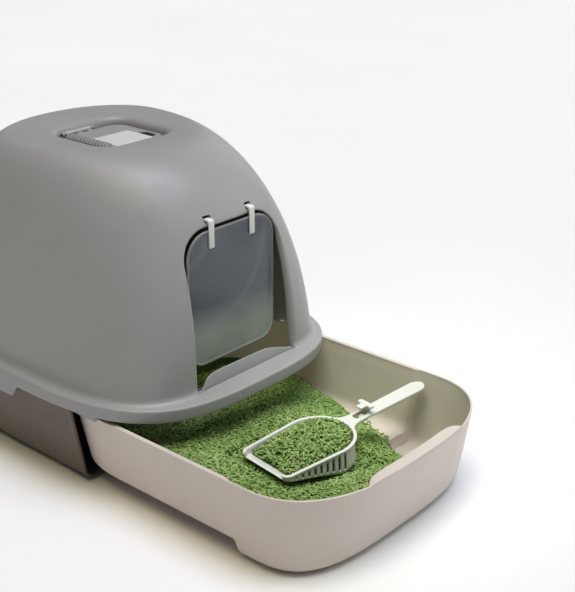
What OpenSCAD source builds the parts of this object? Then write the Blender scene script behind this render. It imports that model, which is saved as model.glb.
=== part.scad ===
// Drawer litter box: a base tray, a pull-out drawer with litter, a domed
// lift-off hood with a swinging door flap and a hinged roof vent, and a
// slotted scoop that lies in the drawer.
//
// Millimetres. +Z is up, the doorway and the drawer front face -Y.
// The origin is on the ground under the centre of the hood's flange.

/* [Hood] */
// Width of the hood across its flange
hood_w = 420; // [412:1:440]
// Depth of the hood across its flange
hood_d = 495; // [489:1:520]
// Height of the crown of the hood above the ground
hood_h = 414; // [410:1:430]
// Height of the top face of the flange above the ground
flange_top = 134.4; // [133.5:0.1:136]
// Height of the flange's skirt
skirt_h = 17.3; // [16:0.1:17.8]
// Wall thickness of the hood
hood_wall = 3; // [2.5:0.1:3.2]

/* [Doorway and flap] */
// Half width of the doorway at its foot
door_hw = 90; // [88:1:94]
// Height of the top of the doorway above the ground
door_top = 335; // [334:0.5:336]
// Half width of the swinging flap
flap_hw = 79; // [70:1:80]
// Height of the flap's lower edge above the ground
flap_bottom = 152; // [151.5:0.5:180]
// Thickness of the flap
flap_t = 2; // [1.4:0.1:2]
// Distance of each hanging strap from the centre line
strap_x = 36.7; // [30:0.1:42]
// Width of a hanging strap
strap_w = 9; // [7:0.1:10]

/* [Base tray] */
// Half width of the base walls where they meet the hood
base_hw = 203.7; // [203:0.1:204]
// Distance from the hood's front to the front edge of the base
base_front = 151; // [151:1:160]
// Wall thickness of the base
base_wall = 3; // [2.5:0.1:3]
// Radius of the anti-slip pads
pad_r = 11; // [8:0.5:13]

/* [Drawer] */
// Height of the drawer's rim above the ground
rim_z = 111.5; // [110:0.5:112]
// Half width of the drawer at its rim
drawer_hw = 190.4; // [188:0.1:191]
// How far the drawer stands out of the hood
drawer_out = 249.6; // [240:0.1:252]
// Wall thickness of the drawer's front part
drawer_wall = 3; // [2.5:0.1:4]
// Wall thickness of the drawer's rear part
drawer_rear_wall = 5.5; // [4:0.1:7]

/* [Roof vent] */
// Half width of the square recess in the roof
recess_hw = 59; // [58.5:0.1:60]
// Depth of the recess
recess_depth = 18; // [17:0.1:18.5]
// Number of louvre fins
fins = 14; // [8:1:14]
// Radius of the lid's hinge pin
lid_pin_r = 1.5; // [1.2:0.1:1.6]

/* [Scoop] */
// Half width of the scoop's blade at its rear
blade_r = 47; // [42:1:48]
// Depth of the blade at its rear
blade_depth = 38; // [34:1:38]
// Length of the whole scoop
scoop_len = 277; // [262:1:280]
// Number of slots in each side of the blade
blade_slots = 9; // [5:1:9]

/* [Hidden] */

c_hood = [0.60, 0.60, 0.59];
c_base = [0.31, 0.27, 0.23];
c_drawer = [0.86, 0.84, 0.79];
c_litter = [0.47, 0.60, 0.36];
c_white = [0.90, 0.89, 0.87];
c_flap = [0.45, 0.48, 0.50, 0.5];
c_dark = [0.14, 0.14, 0.14];

fz = flange_top;               // top of the flange
skirt_z = fz - skirt_h;        // lower edge of the skirt
yo = -hood_d / 2;              // the parts below count Y from the hood's front
cs = 0.01;                     // overlap of joined solids

// ---------- shared shape functions ----------

// a signed power, so that one formula draws all four quarters
function sp(v, e) = v == 0 ? 0 : (v > 0 ? 1 : -1) * pow(abs(v), e);

// ring in plan: superellipse corners in front (from y = yf, centred on yfc)
// and at the back (to y = yb, centred on ybc), straight sides between
function ring(hw, yf, yfc, nf, ybc, yb, nb, z, N) = [
    for (i = [0:N - 1]) let (a = 360 * (i + 0.5) / N, c = cos(a), s = sin(a))
        s < 0 ? [hw * sp(c, 2 / nf), yfc + (yfc - yf) * sp(s, 2 / nf), z]
              : [hw * sp(c, 2 / nb), ybc + (yb - ybc) * sp(s, 2 / nb), z]];

function flat(r) = [for (p = r) [p[0], p[1]]];

// closed solid through a stack of rings of equal length, lowest first
module loft(rs) {
    n = len(rs[0]);
    m = len(rs);
    polyhedron(
        points = [for (r = rs) for (p = r) p],
        faces = concat(
            [[for (i = [0:n - 1]) i]],
            [for (k = [0:m - 2]) for (i = [0:n - 1])
                [k * n + i, (k + 1) * n + i, (k + 1) * n + (i + 1) % n]],
            [for (k = [0:m - 2]) for (i = [0:n - 1])
                [k * n + i, (k + 1) * n + (i + 1) % n, k * n + (i + 1) % n]],
            [[for (i = [n - 1:-1:0]) (m - 1) * n + i]]),
        convexity = 10);
}

// how far a rounded lower edge of radius r is drawn in at height h above it
function tuck(r, h) = h >= r ? 0 : r - sqrt(max(0, r * r - (r - h) * (r - h)));

// ---------- hood ----------

// the dome leans in from the flange to a nearly flat crown
dome_w0 = hood_w / 2 - 15.6;
dome_yc = 0.6513 * hood_d;
dome_yf0 = 28.3;
dome_yb0 = hood_d - 15;
function dome_s(z) = max(0, min(1, (z - fz) / (hood_h - fz)));
function dome_ring(z, t, N) = let (
    s = dome_s(z + t),
    kw = pow(1 - pow(s, 1.5), 0.52),
    kf = pow(1 - pow(s, 2.825), 0.42),
    kb = pow(1 - pow(s, 2.971), 0.604),
    w = 119.1 + (dome_w0 - 119.1) * kw - t,
    yf = dome_yc - 145 - (dome_yc - 145 - dome_yf0) * kf + t * 1.05,
    yb = dome_yc + 91 + (dome_yb0 - dome_yc - 91) * kb - t,
    n = 4.6 - 2.5 * s)
    ring(w, yf, dome_yc, n, dome_yc, yb, n, z, N);
dome_zs = [0, 0.12, 0.26, 0.4, 0.53, 0.65, 0.75, 0.83, 0.9, 0.95, 0.985, 1];
function dome_rings(t, z0, N) = concat(
    [[for (p = dome_ring(fz - t, t, N)) [p[0], p[1], z0]]],
    [for (s = dome_zs) dome_ring(fz + s * (hood_h - fz) - t, t, N)]);

// front face of the dome at a given place
function dome_y(x, z) = let (
    s = dome_s(z),
    w = 119.1 + (dome_w0 - 119.1) * pow(1 - pow(s, 1.5), 0.52),
    yf = dome_yc - 145 - (dome_yc - 145 - dome_yf0) * pow(1 - pow(s, 2.825), 0.42),
    n = 4.6 - 2.5 * s)
    dome_yc - (dome_yc - yf) * pow(max(0, 1 - pow(abs(x) / w, n)), 1 / n);

// flange outline, drawn in by t
function flange_ring(t, N) = flat(ring(hood_w / 2 - t, t, hood_d / 2, 3.2,
    hood_d / 2, hood_d - t, 4.6, 0, N));

// doorway outline in X and Z, drawn in by t
door_cr = 45;
function door_outline(t) = let (h2 = door_hw - 4 - t, cz = door_top - door_cr)
    concat([[-door_hw + t, fz - cs], [door_hw - t, fz - cs], [h2, cz]],
        [for (a = [10:10:90]) [h2 - door_cr + t + (door_cr - t) * cos(a),
            cz + (door_cr - t) * sin(a)]],
        [for (a = [90:10:170]) [-(h2 - door_cr + t) + (door_cr - t) * cos(a),
            cz + (door_cr - t) * sin(a)]],
        [[-h2, cz]]);

// a prism along Y of an outline given in X and Z
module along_y(y0, y1, pts) {
    translate([0, y1, 0]) rotate([90, 0, 0])
        linear_extrude(height = y1 - y0) polygon(pts);
}
// a prism along X of an outline given in Y and Z
module along_x(x0, x1, pts) {
    translate([x0, 0, 0]) rotate([90, 0, 90])
        linear_extrude(height = x1 - x0) polygon(pts);
}

// rounded square prism
module rsq(hx, hy, r, h) {
    linear_extrude(height = h) union() {
        square([2 * hx, 2 * (hy - r)], center = true);
        square([2 * (hx - r), 2 * hy], center = true);
        for (x = [-1, 1], y = [-1, 1])
            translate([x * (hx - r), y * (hy - r)]) circle(r = r, $fn = 48);
    }
}

// slots that the flap's straps hang in
slot_z0 = door_top + 5.2;
slot_z1 = door_top + 13.4;
slot_w = strap_w + 3;

// the flap turns about the strip of hood wall under the slots
strip_y0 = dome_y(strap_x, door_top);
strip_y1 = dome_y(strap_x, slot_z0) + 4.8;
hinge_y = (strip_y0 + strip_y1) / 2 + 0.5;
hook_r = 5.1;                  // inner radius of the straps' hooks
hinge_z = door_top + 2.6;

rec_y = 276;                   // centre of the roof recess
rec_z = hood_h - recess_depth; // floor of the recess
tray_r = 26;                   // corner radius of the recess
pocket = 39;                   // half length of the filter pocket
pocket_w = 30;                 // half width of the filter pocket
pocket_x = -9;                 // its middle, left of the finger well
notch_x = 35;                  // finger hole of the vent lid
notch_y = 246;

// grip tabs hang from the skirt at both sides
tab_y0 = 252;
tab_y1 = 388;
tab_z = skirt_z - 17;

module hood_shell() {
    color(c_hood) translate([0, yo, 0]) difference() {
        union() {
            hood_dome();
            door_sill();
            // floor of the roof recess, with a pocket for the filter
            translate([0, rec_y, rec_z - 2.5])
                rsq(recess_hw + 2.4, recess_hw + 2.4, tray_r + 2.4, recess_depth + 1.5);
            translate([pocket_x, rec_y, rec_z - 15]) rsq(pocket_w + 2.4, pocket + 2.4, 8, 14);
            translate([notch_x, notch_y, rec_z - 13.4]) rsq(10.9, 17.4, 8, 13);
        }
        translate([0, rec_y, rec_z]) rsq(recess_hw, recess_hw, tray_r, 40);
        translate([pocket_x, rec_y, rec_z - 13]) rsq(pocket_w, pocket, 6, 20);
        for (i = [-3:3]) translate([pocket_x + i * 8 - 1.6, rec_y - 30, rec_z - 20]) cube([3.2, 60, 10]);
        // well for a fingertip under the lid's finger hole
        translate([notch_x, notch_y, rec_z - 11]) rsq(8.5, 15, 6, 20);
    }
}

module hood_dome() {
    difference() {
        union() {
            loft(dome_rings(0, fz - hood_wall, 64));
            difference() {
                translate([0, 0, skirt_z]) linear_extrude(height = skirt_h)
                    polygon(flange_ring(0, 72));
                translate([0, 0, skirt_z - 1]) linear_extrude(height = skirt_h - hood_wall + 1)
                    polygon(flange_ring(hood_wall, 72));
            }
            intersection() {
                translate([0, 0, tab_z]) linear_extrude(height = skirt_z - tab_z + 1)
                    difference() {
                        polygon(flange_ring(0, 72));
                        polygon(flange_ring(hood_wall, 72));
                    }
                along_x(-hood_w, hood_w, [[tab_y0 - 7, skirt_z + 2], [tab_y0, skirt_z - 1],
                    [tab_y0 + 4, skirt_z - 8], [tab_y0 + 9, tab_z + 3], [tab_y0 + 15, tab_z],
                    [tab_y1 - 15, tab_z], [tab_y1 - 9, tab_z + 3], [tab_y1 - 4, skirt_z - 8],
                    [tab_y1, skirt_z - 1], [tab_y1 + 7, skirt_z + 2]]);
            }
        }
        // inside of the dome
        loft(dome_rings(hood_wall, fz - hood_wall - 1, 64));
        // doorway
        along_y(-5, 92, door_outline(0));
        // strap slots
        for (s = [-1, 1])
            translate([s * strap_x - slot_w / 2, 40, slot_z0])
                cube([slot_w, 50, slot_z1 - slot_z0]);
    }
}

// sill of the doorway, with a litter guard that leans inward
lip_y = 33.3;
module door_sill() {
    translate([-door_hw - 3, 26, fz - hood_wall]) cube([2 * door_hw + 6, 14, hood_wall]);
    intersection() {
        along_x(-door_hw, door_hw, [[lip_y, fz - 1], [lip_y + 3, fz - 1], [lip_y + 6.9, fz + 15], [lip_y + 4.1, fz + 15.6]]);
        along_y(20, 60, [[-door_hw + 2, fz - 2], [door_hw - 2, fz - 2], [door_hw - 9, fz + 5], [door_hw - 16, fz + 10.5],
            [door_hw - 25, fz + 14], [door_hw - 40, fz + 16], [-door_hw + 40, fz + 16],
            [-door_hw + 25, fz + 14], [-door_hw + 16, fz + 10.5], [-door_hw + 9, fz + 5]]);
    }
}

// ---------- flap ----------

flap_y = hinge_y - hook_r + 0.3; // front face of the flap
flap_top = door_top - 3.5;
flap_cr = 34;                  // upper corners
flap_br = 26;                  // lower corners
stud_z = [flap_top - 7, flap_top - 19];
stud_r = 1.45;

module flap_panel() {
    color(c_flap) translate([0, yo, 0]) difference() {
        along_y(flap_y, flap_y + flap_t, concat(
            [for (a = [0:7.5:90]) [flap_hw - flap_cr + flap_cr * cos(a), flap_top - flap_cr + flap_cr * sin(a)]],
            [for (a = [90:7.5:180]) [-flap_hw + flap_cr + flap_cr * cos(a), flap_top - flap_cr + flap_cr * sin(a)]],
            [for (a = [180:7.5:270]) [-flap_hw + flap_br + flap_br * cos(a), flap_bottom + flap_br + flap_br * sin(a)]],
            [for (a = [270:7.5:360]) [flap_hw - flap_br + flap_br * cos(a), flap_bottom + flap_br + flap_br * sin(a)]]));
        for (s = [-1, 1], z = stud_z)
            translate([s * strap_x, flap_y - 1, z]) rotate([-90, 0, 0])
                cylinder(r = stud_r + 0.05, h = flap_t + 2, $fn = 24);
    }
}

// a strap wraps over the strip of wall under its slot and hangs in front of the flap
strap_t = 2;
module strap(s) {
    ri = hook_r;
    y0 = hinge_y - ri;         // inner face of the front leg
    zt = hinge_z + ri;         // underside of the hook's arch
    color(c_white) translate([s * strap_x, yo, 0]) difference() {
        union() {
            along_x(-strap_w / 2, strap_w / 2, [
                [y0, door_top - 27.3], [y0, hinge_z], [hinge_y + ri, hinge_z], [hinge_y + ri, hinge_z - 2],
                [hinge_y + ri + 1.8, hinge_z - 2], [hinge_y + ri + 1.8, zt + 0.6], [hinge_y + ri, zt + 2.3],
                [y0 - strap_t + 2.2, zt + 2.3], [y0 - strap_t + 0.6, zt + 1.6], [y0 - strap_t, zt + 0.2],
                [y0 - strap_t, door_top - 26.6], [y0 - strap_t + 0.7, door_top - 27.3]]);
        }
        // the hook turns on its round inner face
        translate([-strap_w, hinge_y, hinge_z]) rotate([0, 90, 0]) cylinder(r = ri, h = 2 * strap_w, $fn = 64);
        for (z = stud_z)
            translate([0, y0 - 1.2, z]) rotate([-90, 0, 0])
                cylinder(r = stud_r + 0.05, h = 4, $fn = 24);
    }
}
module flap_strap_left() { strap(-1); }
module flap_strap_right() { strap(1); }

// studs that fasten the flap to the straps from behind
module flap_studs() {
    color(c_white) translate([0, yo, 0])
        for (s = [-1, 1], z = stud_z) translate([s * strap_x, 0, z]) rotate([-90, 0, 0]) {
            translate([0, 0, hinge_y - hook_r - 1.1]) cylinder(r = stud_r, h = flap_y + flap_t - hinge_y + hook_r + 1.15, $fn = 24);
            translate([0, 0, flap_y + flap_t + 0.05]) cylinder(r = 3, h = 1.2, $fn = 24);
        }
}

// ---------- roof vent ----------

module filter_pad() {
    color(c_dark) translate([pocket_x, yo + rec_y, rec_z - 12.8]) rsq(pocket_w - 1, pocket - 1, 5, 10.5);
}

lid_t = 2.2;                   // skin of the lid
lid_h = 9.3;                   // height of the lid with its skirt
lid_z = rec_z + 0.3;           // underside of the skirt
lid_y0 = rec_y - 56;           // front edge of the lid
lid_y1 = rec_y + 45;           // rear edge of the lid
lid_hy = rec_y + 52;           // hinge axis
lid_hz = lid_z + 9.2;
kn_x0 = -39;
kn_x1 = 5;
module vent_lid() {
    color(c_hood) translate([0, yo, 0]) difference() {
        union() {
            // a shallow upturned pan
            difference() {
                translate([-2, (lid_y0 + lid_y1) / 2, lid_z])
                    rsq(52, (lid_y1 - lid_y0) / 2, 20, lid_h);
                translate([-2, (lid_y0 + lid_y1) / 2, lid_z - 1])
                    rsq(50, (lid_y1 - lid_y0) / 2 - 2, 18, lid_h - lid_t + 1);
            }
            // louvre ribs along the left
            for (i = [0:fins - 1])
                translate([-44.5, 232 + i * 77 / max(1, fins - 1), lid_z + lid_h - 0.5]) rotate([0, 0, 20])
                    translate([0, 0.9, 0]) rotate([90, 0, 0]) linear_extrude(height = 1.8)
                        polygon([[-8.8, 0], [8.8, 0], [7.6, 1.5], [4.5, 2.9], [0, 3.9], [-5, 4.3], [-8.8, 3.9]]);
            // hinge knuckle
            translate([kn_x0, lid_hy, lid_hz]) rotate([0, 90, 0]) cylinder(r = 3.6, h = kn_x1 - kn_x0, $fn = 48);
            translate([kn_x0, lid_y1 - 2, lid_z + lid_h - lid_t]) cube([kn_x1 - kn_x0, lid_hy - lid_y1, lid_t]);
        }
        translate([kn_x0 - 1, lid_hy, lid_hz]) rotate([0, 90, 0])
            cylinder(r = lid_pin_r + 0.05, h = kn_x1 - kn_x0 + 2, $fn = 32);
        // vents between the ribs
        for (i = [0:fins - 2])
            translate([-44.5, 232 + (i + 0.5) * 77 / max(1, fins - 1), lid_z + 2]) rotate([0, 0, 20])
                translate([-7, -1.2, 0]) cube([14, 2.4, lid_h]);
        // seat of the white plate
        translate([-1, 254.5, lid_z + lid_h - 1]) rsq(32.2, 26.7, 4, 3);
        // finger hole beside the plate
        translate([notch_x, notch_y, lid_z - 1]) linear_extrude(height = lid_h + 3) union() {
            translate([0, 6]) circle(r = 8, $fn = 40);
            translate([0, -6]) circle(r = 8, $fn = 40);
            square([16, 12], center = true);
        }
    }
}

module filter_cap() {
    color(c_white) translate([-1, yo + 254.5, lid_z + lid_h - 0.95]) rsq(32, 26.5, 4, 1.75);
}

ear_t = 5;
module vent_hinge_bracket() {
    color(c_hood) translate([0, yo, 0])
        for (x = [kn_x0 - 0.5 - ear_t, kn_x1 + 0.5]) difference() {
            union() {
                translate([x, lid_hy, lid_hz]) rotate([0, 90, 0]) cylinder(r = 3.6, h = ear_t, $fn = 48);
                translate([x, lid_hy - 3.2, rec_z + 0.05]) cube([ear_t, 6.4, lid_hz - rec_z]);
            }
            translate([x - 1, lid_hy, lid_hz]) rotate([0, 90, 0]) cylinder(r = lid_pin_r + 0.05, h = ear_t + 2, $fn = 32);
        }
}

module vent_hinge_pin() {
    color(c_dark) translate([kn_x0 - ear_t - 1, yo + lid_hy, lid_hz]) rotate([0, 90, 0])
        cylinder(r = lid_pin_r, h = kn_x1 - kn_x0 + 2 * ear_t + 2, $fn = 32);
}

// ---------- base ----------

ground_gap = 1.2;              // the pads lift the base this far
base_back = hood_d - 6.3;
// base outline at height z, drawn in by t and by its rounded lower edge
function base_ring(z, t, r, z0, N) = let (d = tuck(r, z - z0) + t + (fz - 3.2 - z) * 0.172)
    ring(base_hw - d, 0, 200, 3, hood_d / 2, base_back - d, 4.6, z, N);
base_zs = [0, 1.5, 4, 8, 12, 16, 60];
module base_tray() {
    color(c_base) translate([0, yo, 0]) difference() {
        union() {
            difference() {
                loft(concat([for (h = base_zs) base_ring(ground_gap + h, 0, 16, ground_gap, 56)],
                    [base_ring(fz - 3.2, 0, 16, ground_gap, 56)]));
                loft(concat([for (h = base_zs) base_ring(ground_gap + base_wall + h, base_wall, 13, ground_gap + base_wall, 56)],
                    [base_ring(fz, base_wall, 13, ground_gap, 56)]));
                translate([-300, -300, -10]) cube([600, 300 + base_front, 300]);
            }
            // runners that carry the drawer
            for (x = [-112, 0, 112])
                translate([x - 4, base_front + 6, ground_gap + base_wall - 0.5]) cube([8, 270, 16.2 - ground_gap - base_wall + 0.3]);
        }
        for (x = [-130, 130], y = [base_front + 34, base_back - 74])
            translate([x, y, 0]) cylinder(r = pad_r + 0.2, h = ground_gap + 0.9, $fn = 48);
    }
}

module anti_slip_pads() {
    color(c_dark) translate([0, yo, 0])
        for (x = [-130, 130], y = [base_front + 34, base_back - 74])
            translate([x, y, 0]) cylinder(r = pad_r, h = ground_gap + 0.8, $fn = 48);
}

// ---------- drawer ----------

sole_z = 16.2;                 // underside of the rear part
step_y = -112;                 // the front part begins here and reaches the ground
// drawer outline at height z, drawn in by d
function drawer_ring(z, d, N) = let (k = z / rim_z)
    ring(drawer_hw - (rim_z - z) * 0.1422 - d, -drawer_out + 26.6 * (1 - k) + d,
        -121.5 - 8 * k, 3.4 - 0.8 * k, 80 + 20 * k, 190 + 15 * k - d, 3.6, z, N);
function drawer_stack(z0, z1, d, r, N) = concat(
    [for (h = [0, 1, 3, 6, 10, r]) drawer_ring(z0 + h, d + tuck(r, h), N)],
    [drawer_ring(60, d, N), drawer_ring(z1, d, N)]);

// rim of the drawer front at x
function rim_front(x) = -129.5 - (drawer_out - 129.5) * pow(max(0, 1 - pow(abs(x) / drawer_hw, 2.6)), 1 / 2.6);
// width of the grip lip at x, from 0 to 1
function lip_k(x) = pow(max(0, 1 - pow(abs(x) / 88, 5)), 0.45);
lip_in = 16;
lip_up = 4.5;

module drawer_tray() {
    dw = drawer_wall;
    dr = drawer_rear_wall;
    color(c_drawer) translate([0, yo, 0]) {
        difference() {
            loft(drawer_stack(0, rim_z, 0, 18, 56));
            // the rear part is raised to ride inside the base
            translate([-300, step_y, -10]) cube([600, 400, 10 + sole_z]);
            loft(concat(drawer_stack(sole_z + 3, rim_z, dr, 15, 56), [drawer_ring(rim_z + 5, dr, 56)]));
            intersection() {
                loft(concat(drawer_stack(3, rim_z, dw, 15, 56), [drawer_ring(rim_z + 5, dw, 56)]));
                translate([-300, step_y - 403, -10]) cube([600, 400, 200]);
            }
        }
        // grip lip on the front rim
        xs = [for (i = [-16:16]) i * 5.4];
        loft([for (x = xs) let (k = lip_k(x), y = rim_front(x) + 0.8) [
            [x, y, rim_z - 2.9], [x, y + 2 + (lip_in - 2) * k, rim_z - 0.3 + (lip_up + 0.3) * k - 2.6],
            [x, y + 2 + (lip_in - 2) * k, rim_z - 0.3 + (lip_up + 0.3) * k], [x, y, rim_z - 0.3]]]);
    }
}

// ---------- litter ----------

// height of the litter: heaped at the back left, down to the floor at the front right
function litter_h(x, y) = let (
    d = max(0, (164 - x) * 0.94 + (y + 38) * 0.342),
    h = 22 + 60 * (1 - exp(-d / 105)) + 2.2 * sin(x * 2.3 + 40) * cos(y * 2.9) * min(1, d / 60))
    min(h, scoop_floor(x, y));
// the litter gives way under the scoop's blade
function scoop_u(x, y) = let (p = [x - tip[0], y - tip[1]])
    [p[0] * cos(scoop_turn) + p[1] * sin(scoop_turn), -p[0] * sin(scoop_turn) + p[1] * cos(scoop_turn)];
function scoop_floor(x, y) = let (p = scoop_u(x, y))
    (p[0] > -9 && p[0] < 147 && abs(p[1]) < blade_r + 12)
        ? tip[2] - 15 - max(0, min(30, p[0] * 0.33)) + p[0] * sin(scoop_tilt) : 999;

module litter_bed() {
    N = 56;
    K = 12;
    g = 1.2;
    color(c_litter) translate([0, yo, 0]) union() {
        // the main heap
        o = [for (i = [0:N - 1]) let (q = drawer_ring(50, drawer_rear_wall + g, N)[i],
            z = max(litter_h(q[0], q[1]), sole_z + 13.5)) drawer_ring(z, drawer_rear_wall + g, N)[i]];
        low = drawer_ring(sole_z + 3 + g, drawer_rear_wall + g + 13, N);
        rs = concat(
            [low], [for (h = [3, 8]) drawer_ring(sole_z + 3 + g + h, drawer_rear_wall + g + tuck(15, h), N)]);
        top = [for (k = [0:K - 1]) [for (p = o) let (f = 1 - 0.97 * k / (K - 1), x = p[0] * f, y = -30 + (p[1] + 30) * f)
            [x, y, max(litter_h(x, y), sole_z + 13.5)]]];
        loft(concat(rs, top));
        // what fills the deeper front
        intersection() {
            loft([drawer_ring(3 + g, drawer_wall + g + 13, N), drawer_ring(3 + g + 4, drawer_wall + g + 6, N),
                drawer_ring(3 + g + 12, drawer_wall + g + 1, N), drawer_ring(sole_z + 9, drawer_wall + g, N)]);
            translate([-300, step_y - 406, -10]) cube([600, 400, 100]);
        }
    }
}

// ---------- scoop ----------

tip = [-98, -84, 82];         // middle of the blade's tip, at the rim
scoop_turn = -8;               // the handle points to the front right
scoop_tilt = 4;                // and rises
blade_len = 88;                // straight part of the blade
tip_hw = blade_r - 5;

module blade_plan(o) {
    polygon([[0, -tip_hw - o], [blade_len, -blade_r - o], [blade_len, blade_r + o], [0, tip_hw + o]]);
    translate([blade_len, 0]) circle(r = blade_r + o, $fn = 64);
}

module scoop_place() {
    translate([tip[0], tip[1] + yo, tip[2]]) rotate([0, 0, scoop_turn]) rotate([0, -scoop_tilt, 0]) children();
}

module litter_scoop() {
    bl = blade_len;
    br = blade_r;
    color(c_white) scoop_place() {
        difference() {
            union() {
                intersection() {
                    translate([0, 0, -blade_depth]) linear_extrude(height = blade_depth) blade_plan(0);
                    along_y(-60, 60, [[0, 0], [bl + br, 0], [bl + br, -blade_depth + 9], [bl + br - 12, -blade_depth],
                        [bl, -blade_depth], [0, -9]]);
                }
                // rim bead
                translate([0, 0, -3]) linear_extrude(height = 3) blade_plan(2.4);
            }
            intersection() {
                translate([-1, 0, -blade_depth]) linear_extrude(height = blade_depth + 1) blade_plan(-2.2);
                along_y(-60, 60, [[-2, 1], [bl + br, 1], [bl + br, -blade_depth + 10], [bl + br - 13, -blade_depth + 2.2],
                    [bl, -blade_depth + 2.2], [-2, -6.2]]);
            }
            // open tip
            translate([-3, -tip_hw + 2.4, -6.6]) cube([6, 2 * tip_hw - 4.8, 10]);
            // slots in both sides
            for (i = [0:blade_slots - 1]) let (x = 14 + i * 9.4, d = 8 + x * 0.26)
                translate([x, -60, -d + 0.5]) cube([4.4, 120, max(2, d - 6)]);
            // slots round the back
            for (a = [-50, -25, 0, 25, 50])
                translate([bl, 0, 0]) rotate([0, 0, a]) translate([br - 10, -2.2, -blade_depth + 12]) cube([14, 4.4, blade_depth - 18]);
        }
        // handle
        difference() {
            union() {
                translate([bl + br - 2.6, 0, -6]) linear_extrude(height = 6)
                    polygon([[0, -20], [8, -13], [18, -10], [scoop_len - bl - br - 12, -11.5],
                        [scoop_len - bl - br, -8], [scoop_len - bl - br + 2.6, 0],
                        [scoop_len - bl - br, 8], [scoop_len - bl - br - 12, 11.5], [18, 10], [8, 13], [0, 20]]);
            }
            translate([bl + br + 16, -5.5, -8]) cube([20, 11, 10]);
        }
        // hanging hook
        translate([bl + br + 37, -5, -0.5]) cube([5, 10, 9]);
        translate([bl + br + 24, -5, 8.3]) cube([18, 10, 3.2]);
        translate([bl + br + 34, -13, 8.3]) cube([8, 26, 3.2]);
    }
}

module scooped_litter() {
    color(c_litter) scoop_place() intersection() {
        translate([0, 0, -blade_depth]) linear_extrude(height = blade_depth) intersection() {
            blade_plan(-3);
            translate([0, -80]) square([blade_len + 24, 160]);
        }
        along_y(-60, 60, [[14, -9.6], [20, -9], [blade_len + 20, -13], [blade_len + 28, -blade_depth + 4], [blade_len - 1, -blade_depth + 3.2], [14, -10.9]]);
    }
}

base_tray();
anti_slip_pads();
drawer_tray();
litter_bed();
hood_shell();
flap_panel();
flap_strap_left();
flap_strap_right();
flap_studs();
filter_pad();
vent_lid();
filter_cap();
vent_hinge_bracket();
vent_hinge_pin();
litter_scoop();
scooped_litter();
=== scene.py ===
import sys
import math
import bpy
import bmesh
import numpy as np
from mathutils import Vector, Matrix


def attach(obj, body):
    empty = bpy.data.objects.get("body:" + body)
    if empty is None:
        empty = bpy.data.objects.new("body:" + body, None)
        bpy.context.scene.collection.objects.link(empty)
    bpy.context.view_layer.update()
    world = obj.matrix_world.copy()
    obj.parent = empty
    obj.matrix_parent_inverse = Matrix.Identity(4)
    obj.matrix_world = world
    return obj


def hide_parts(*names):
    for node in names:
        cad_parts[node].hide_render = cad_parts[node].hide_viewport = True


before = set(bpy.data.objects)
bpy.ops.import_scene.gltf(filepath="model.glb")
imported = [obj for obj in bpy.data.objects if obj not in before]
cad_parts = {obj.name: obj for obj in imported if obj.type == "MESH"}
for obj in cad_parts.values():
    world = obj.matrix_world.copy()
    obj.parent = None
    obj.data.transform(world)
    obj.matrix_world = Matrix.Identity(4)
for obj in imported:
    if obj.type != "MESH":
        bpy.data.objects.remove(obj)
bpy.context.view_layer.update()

rng = np.random.default_rng(7)

# Lengths below are in millimetres, and Y counts back from the front of the hood's flange.
MM = 0.001
YO = -247.5
FZ = 134.4          # top of the flange
H = 414.0           # crown of the hood
YC = 322.39         # the dome's sections are centred here
RY = 276.0          # centre of the roof recess


# ------------------------------------------------------------------ materials

def new_mat(name):
    m = bpy.data.materials.new(name)
    m.use_nodes = True
    nt = m.node_tree
    nt.nodes.clear()
    out = nt.nodes.new("ShaderNodeOutputMaterial")
    b = nt.nodes.new("ShaderNodeBsdfPrincipled")
    nt.links.new(b.outputs[0], out.inputs[0])
    tc = nt.nodes.new("ShaderNodeTexCoord")
    return m, nt, b, tc.outputs["Object"]


def noise(nt, vec, scale, detail=2.0, rough=0.5, dist=0.0):
    n = nt.nodes.new("ShaderNodeTexNoise")
    n.inputs["Scale"].default_value = scale
    n.inputs["Detail"].default_value = detail
    n.inputs["Roughness"].default_value = rough
    n.inputs["Distortion"].default_value = dist
    nt.links.new(vec, n.inputs["Vector"])
    return n.outputs["Fac"]


def stretch(nt, vec, sx, sy, sz):
    m = nt.nodes.new("ShaderNodeMapping")
    m.inputs["Scale"].default_value = (sx, sy, sz)
    nt.links.new(vec, m.inputs["Vector"])
    return m.outputs[0]


def ramp(nt, fac, stops):
    r = nt.nodes.new("ShaderNodeValToRGB")
    e = r.color_ramp.elements
    while len(e) > 1:
        e.remove(e[-1])
    e[0].position, e[0].color = stops[0][0], (*stops[0][1], 1)
    for p, c in stops[1:]:
        k = e.new(p)
        k.color = (*c, 1)
    nt.links.new(fac, r.inputs[0])
    return r.outputs[0]


def span(nt, fac, a, b, lo, hi):
    m = nt.nodes.new("ShaderNodeMapRange")
    m.inputs["From Min"].default_value = a
    m.inputs["From Max"].default_value = b
    m.inputs["To Min"].default_value = lo
    m.inputs["To Max"].default_value = hi
    nt.links.new(fac, m.inputs["Value"])
    return m.outputs[0]


def mixc(nt, fac, a, b, mode="MIX"):
    m = nt.nodes.new("ShaderNodeMix")
    m.data_type = "RGBA"
    m.blend_type = mode
    if isinstance(fac, (int, float)):
        m.inputs[0].default_value = fac
    else:
        nt.links.new(fac, m.inputs[0])
    for sock, v in ((m.inputs[6], a), (m.inputs[7], b)):
        if isinstance(v, tuple):
            sock.default_value = (*v, 1)
        else:
            nt.links.new(v, sock)
    return m.outputs[2]


def bump(nt, b, height, strength, dist, prev=None):
    k = nt.nodes.new("ShaderNodeBump")
    k.inputs["Strength"].default_value = strength
    k.inputs["Distance"].default_value = dist
    nt.links.new(height, k.inputs["Height"])
    if prev is not None:
        nt.links.new(prev, k.inputs["Normal"])
    nt.links.new(k.outputs[0], b.inputs["Normal"])
    return k.outputs[0]


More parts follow.
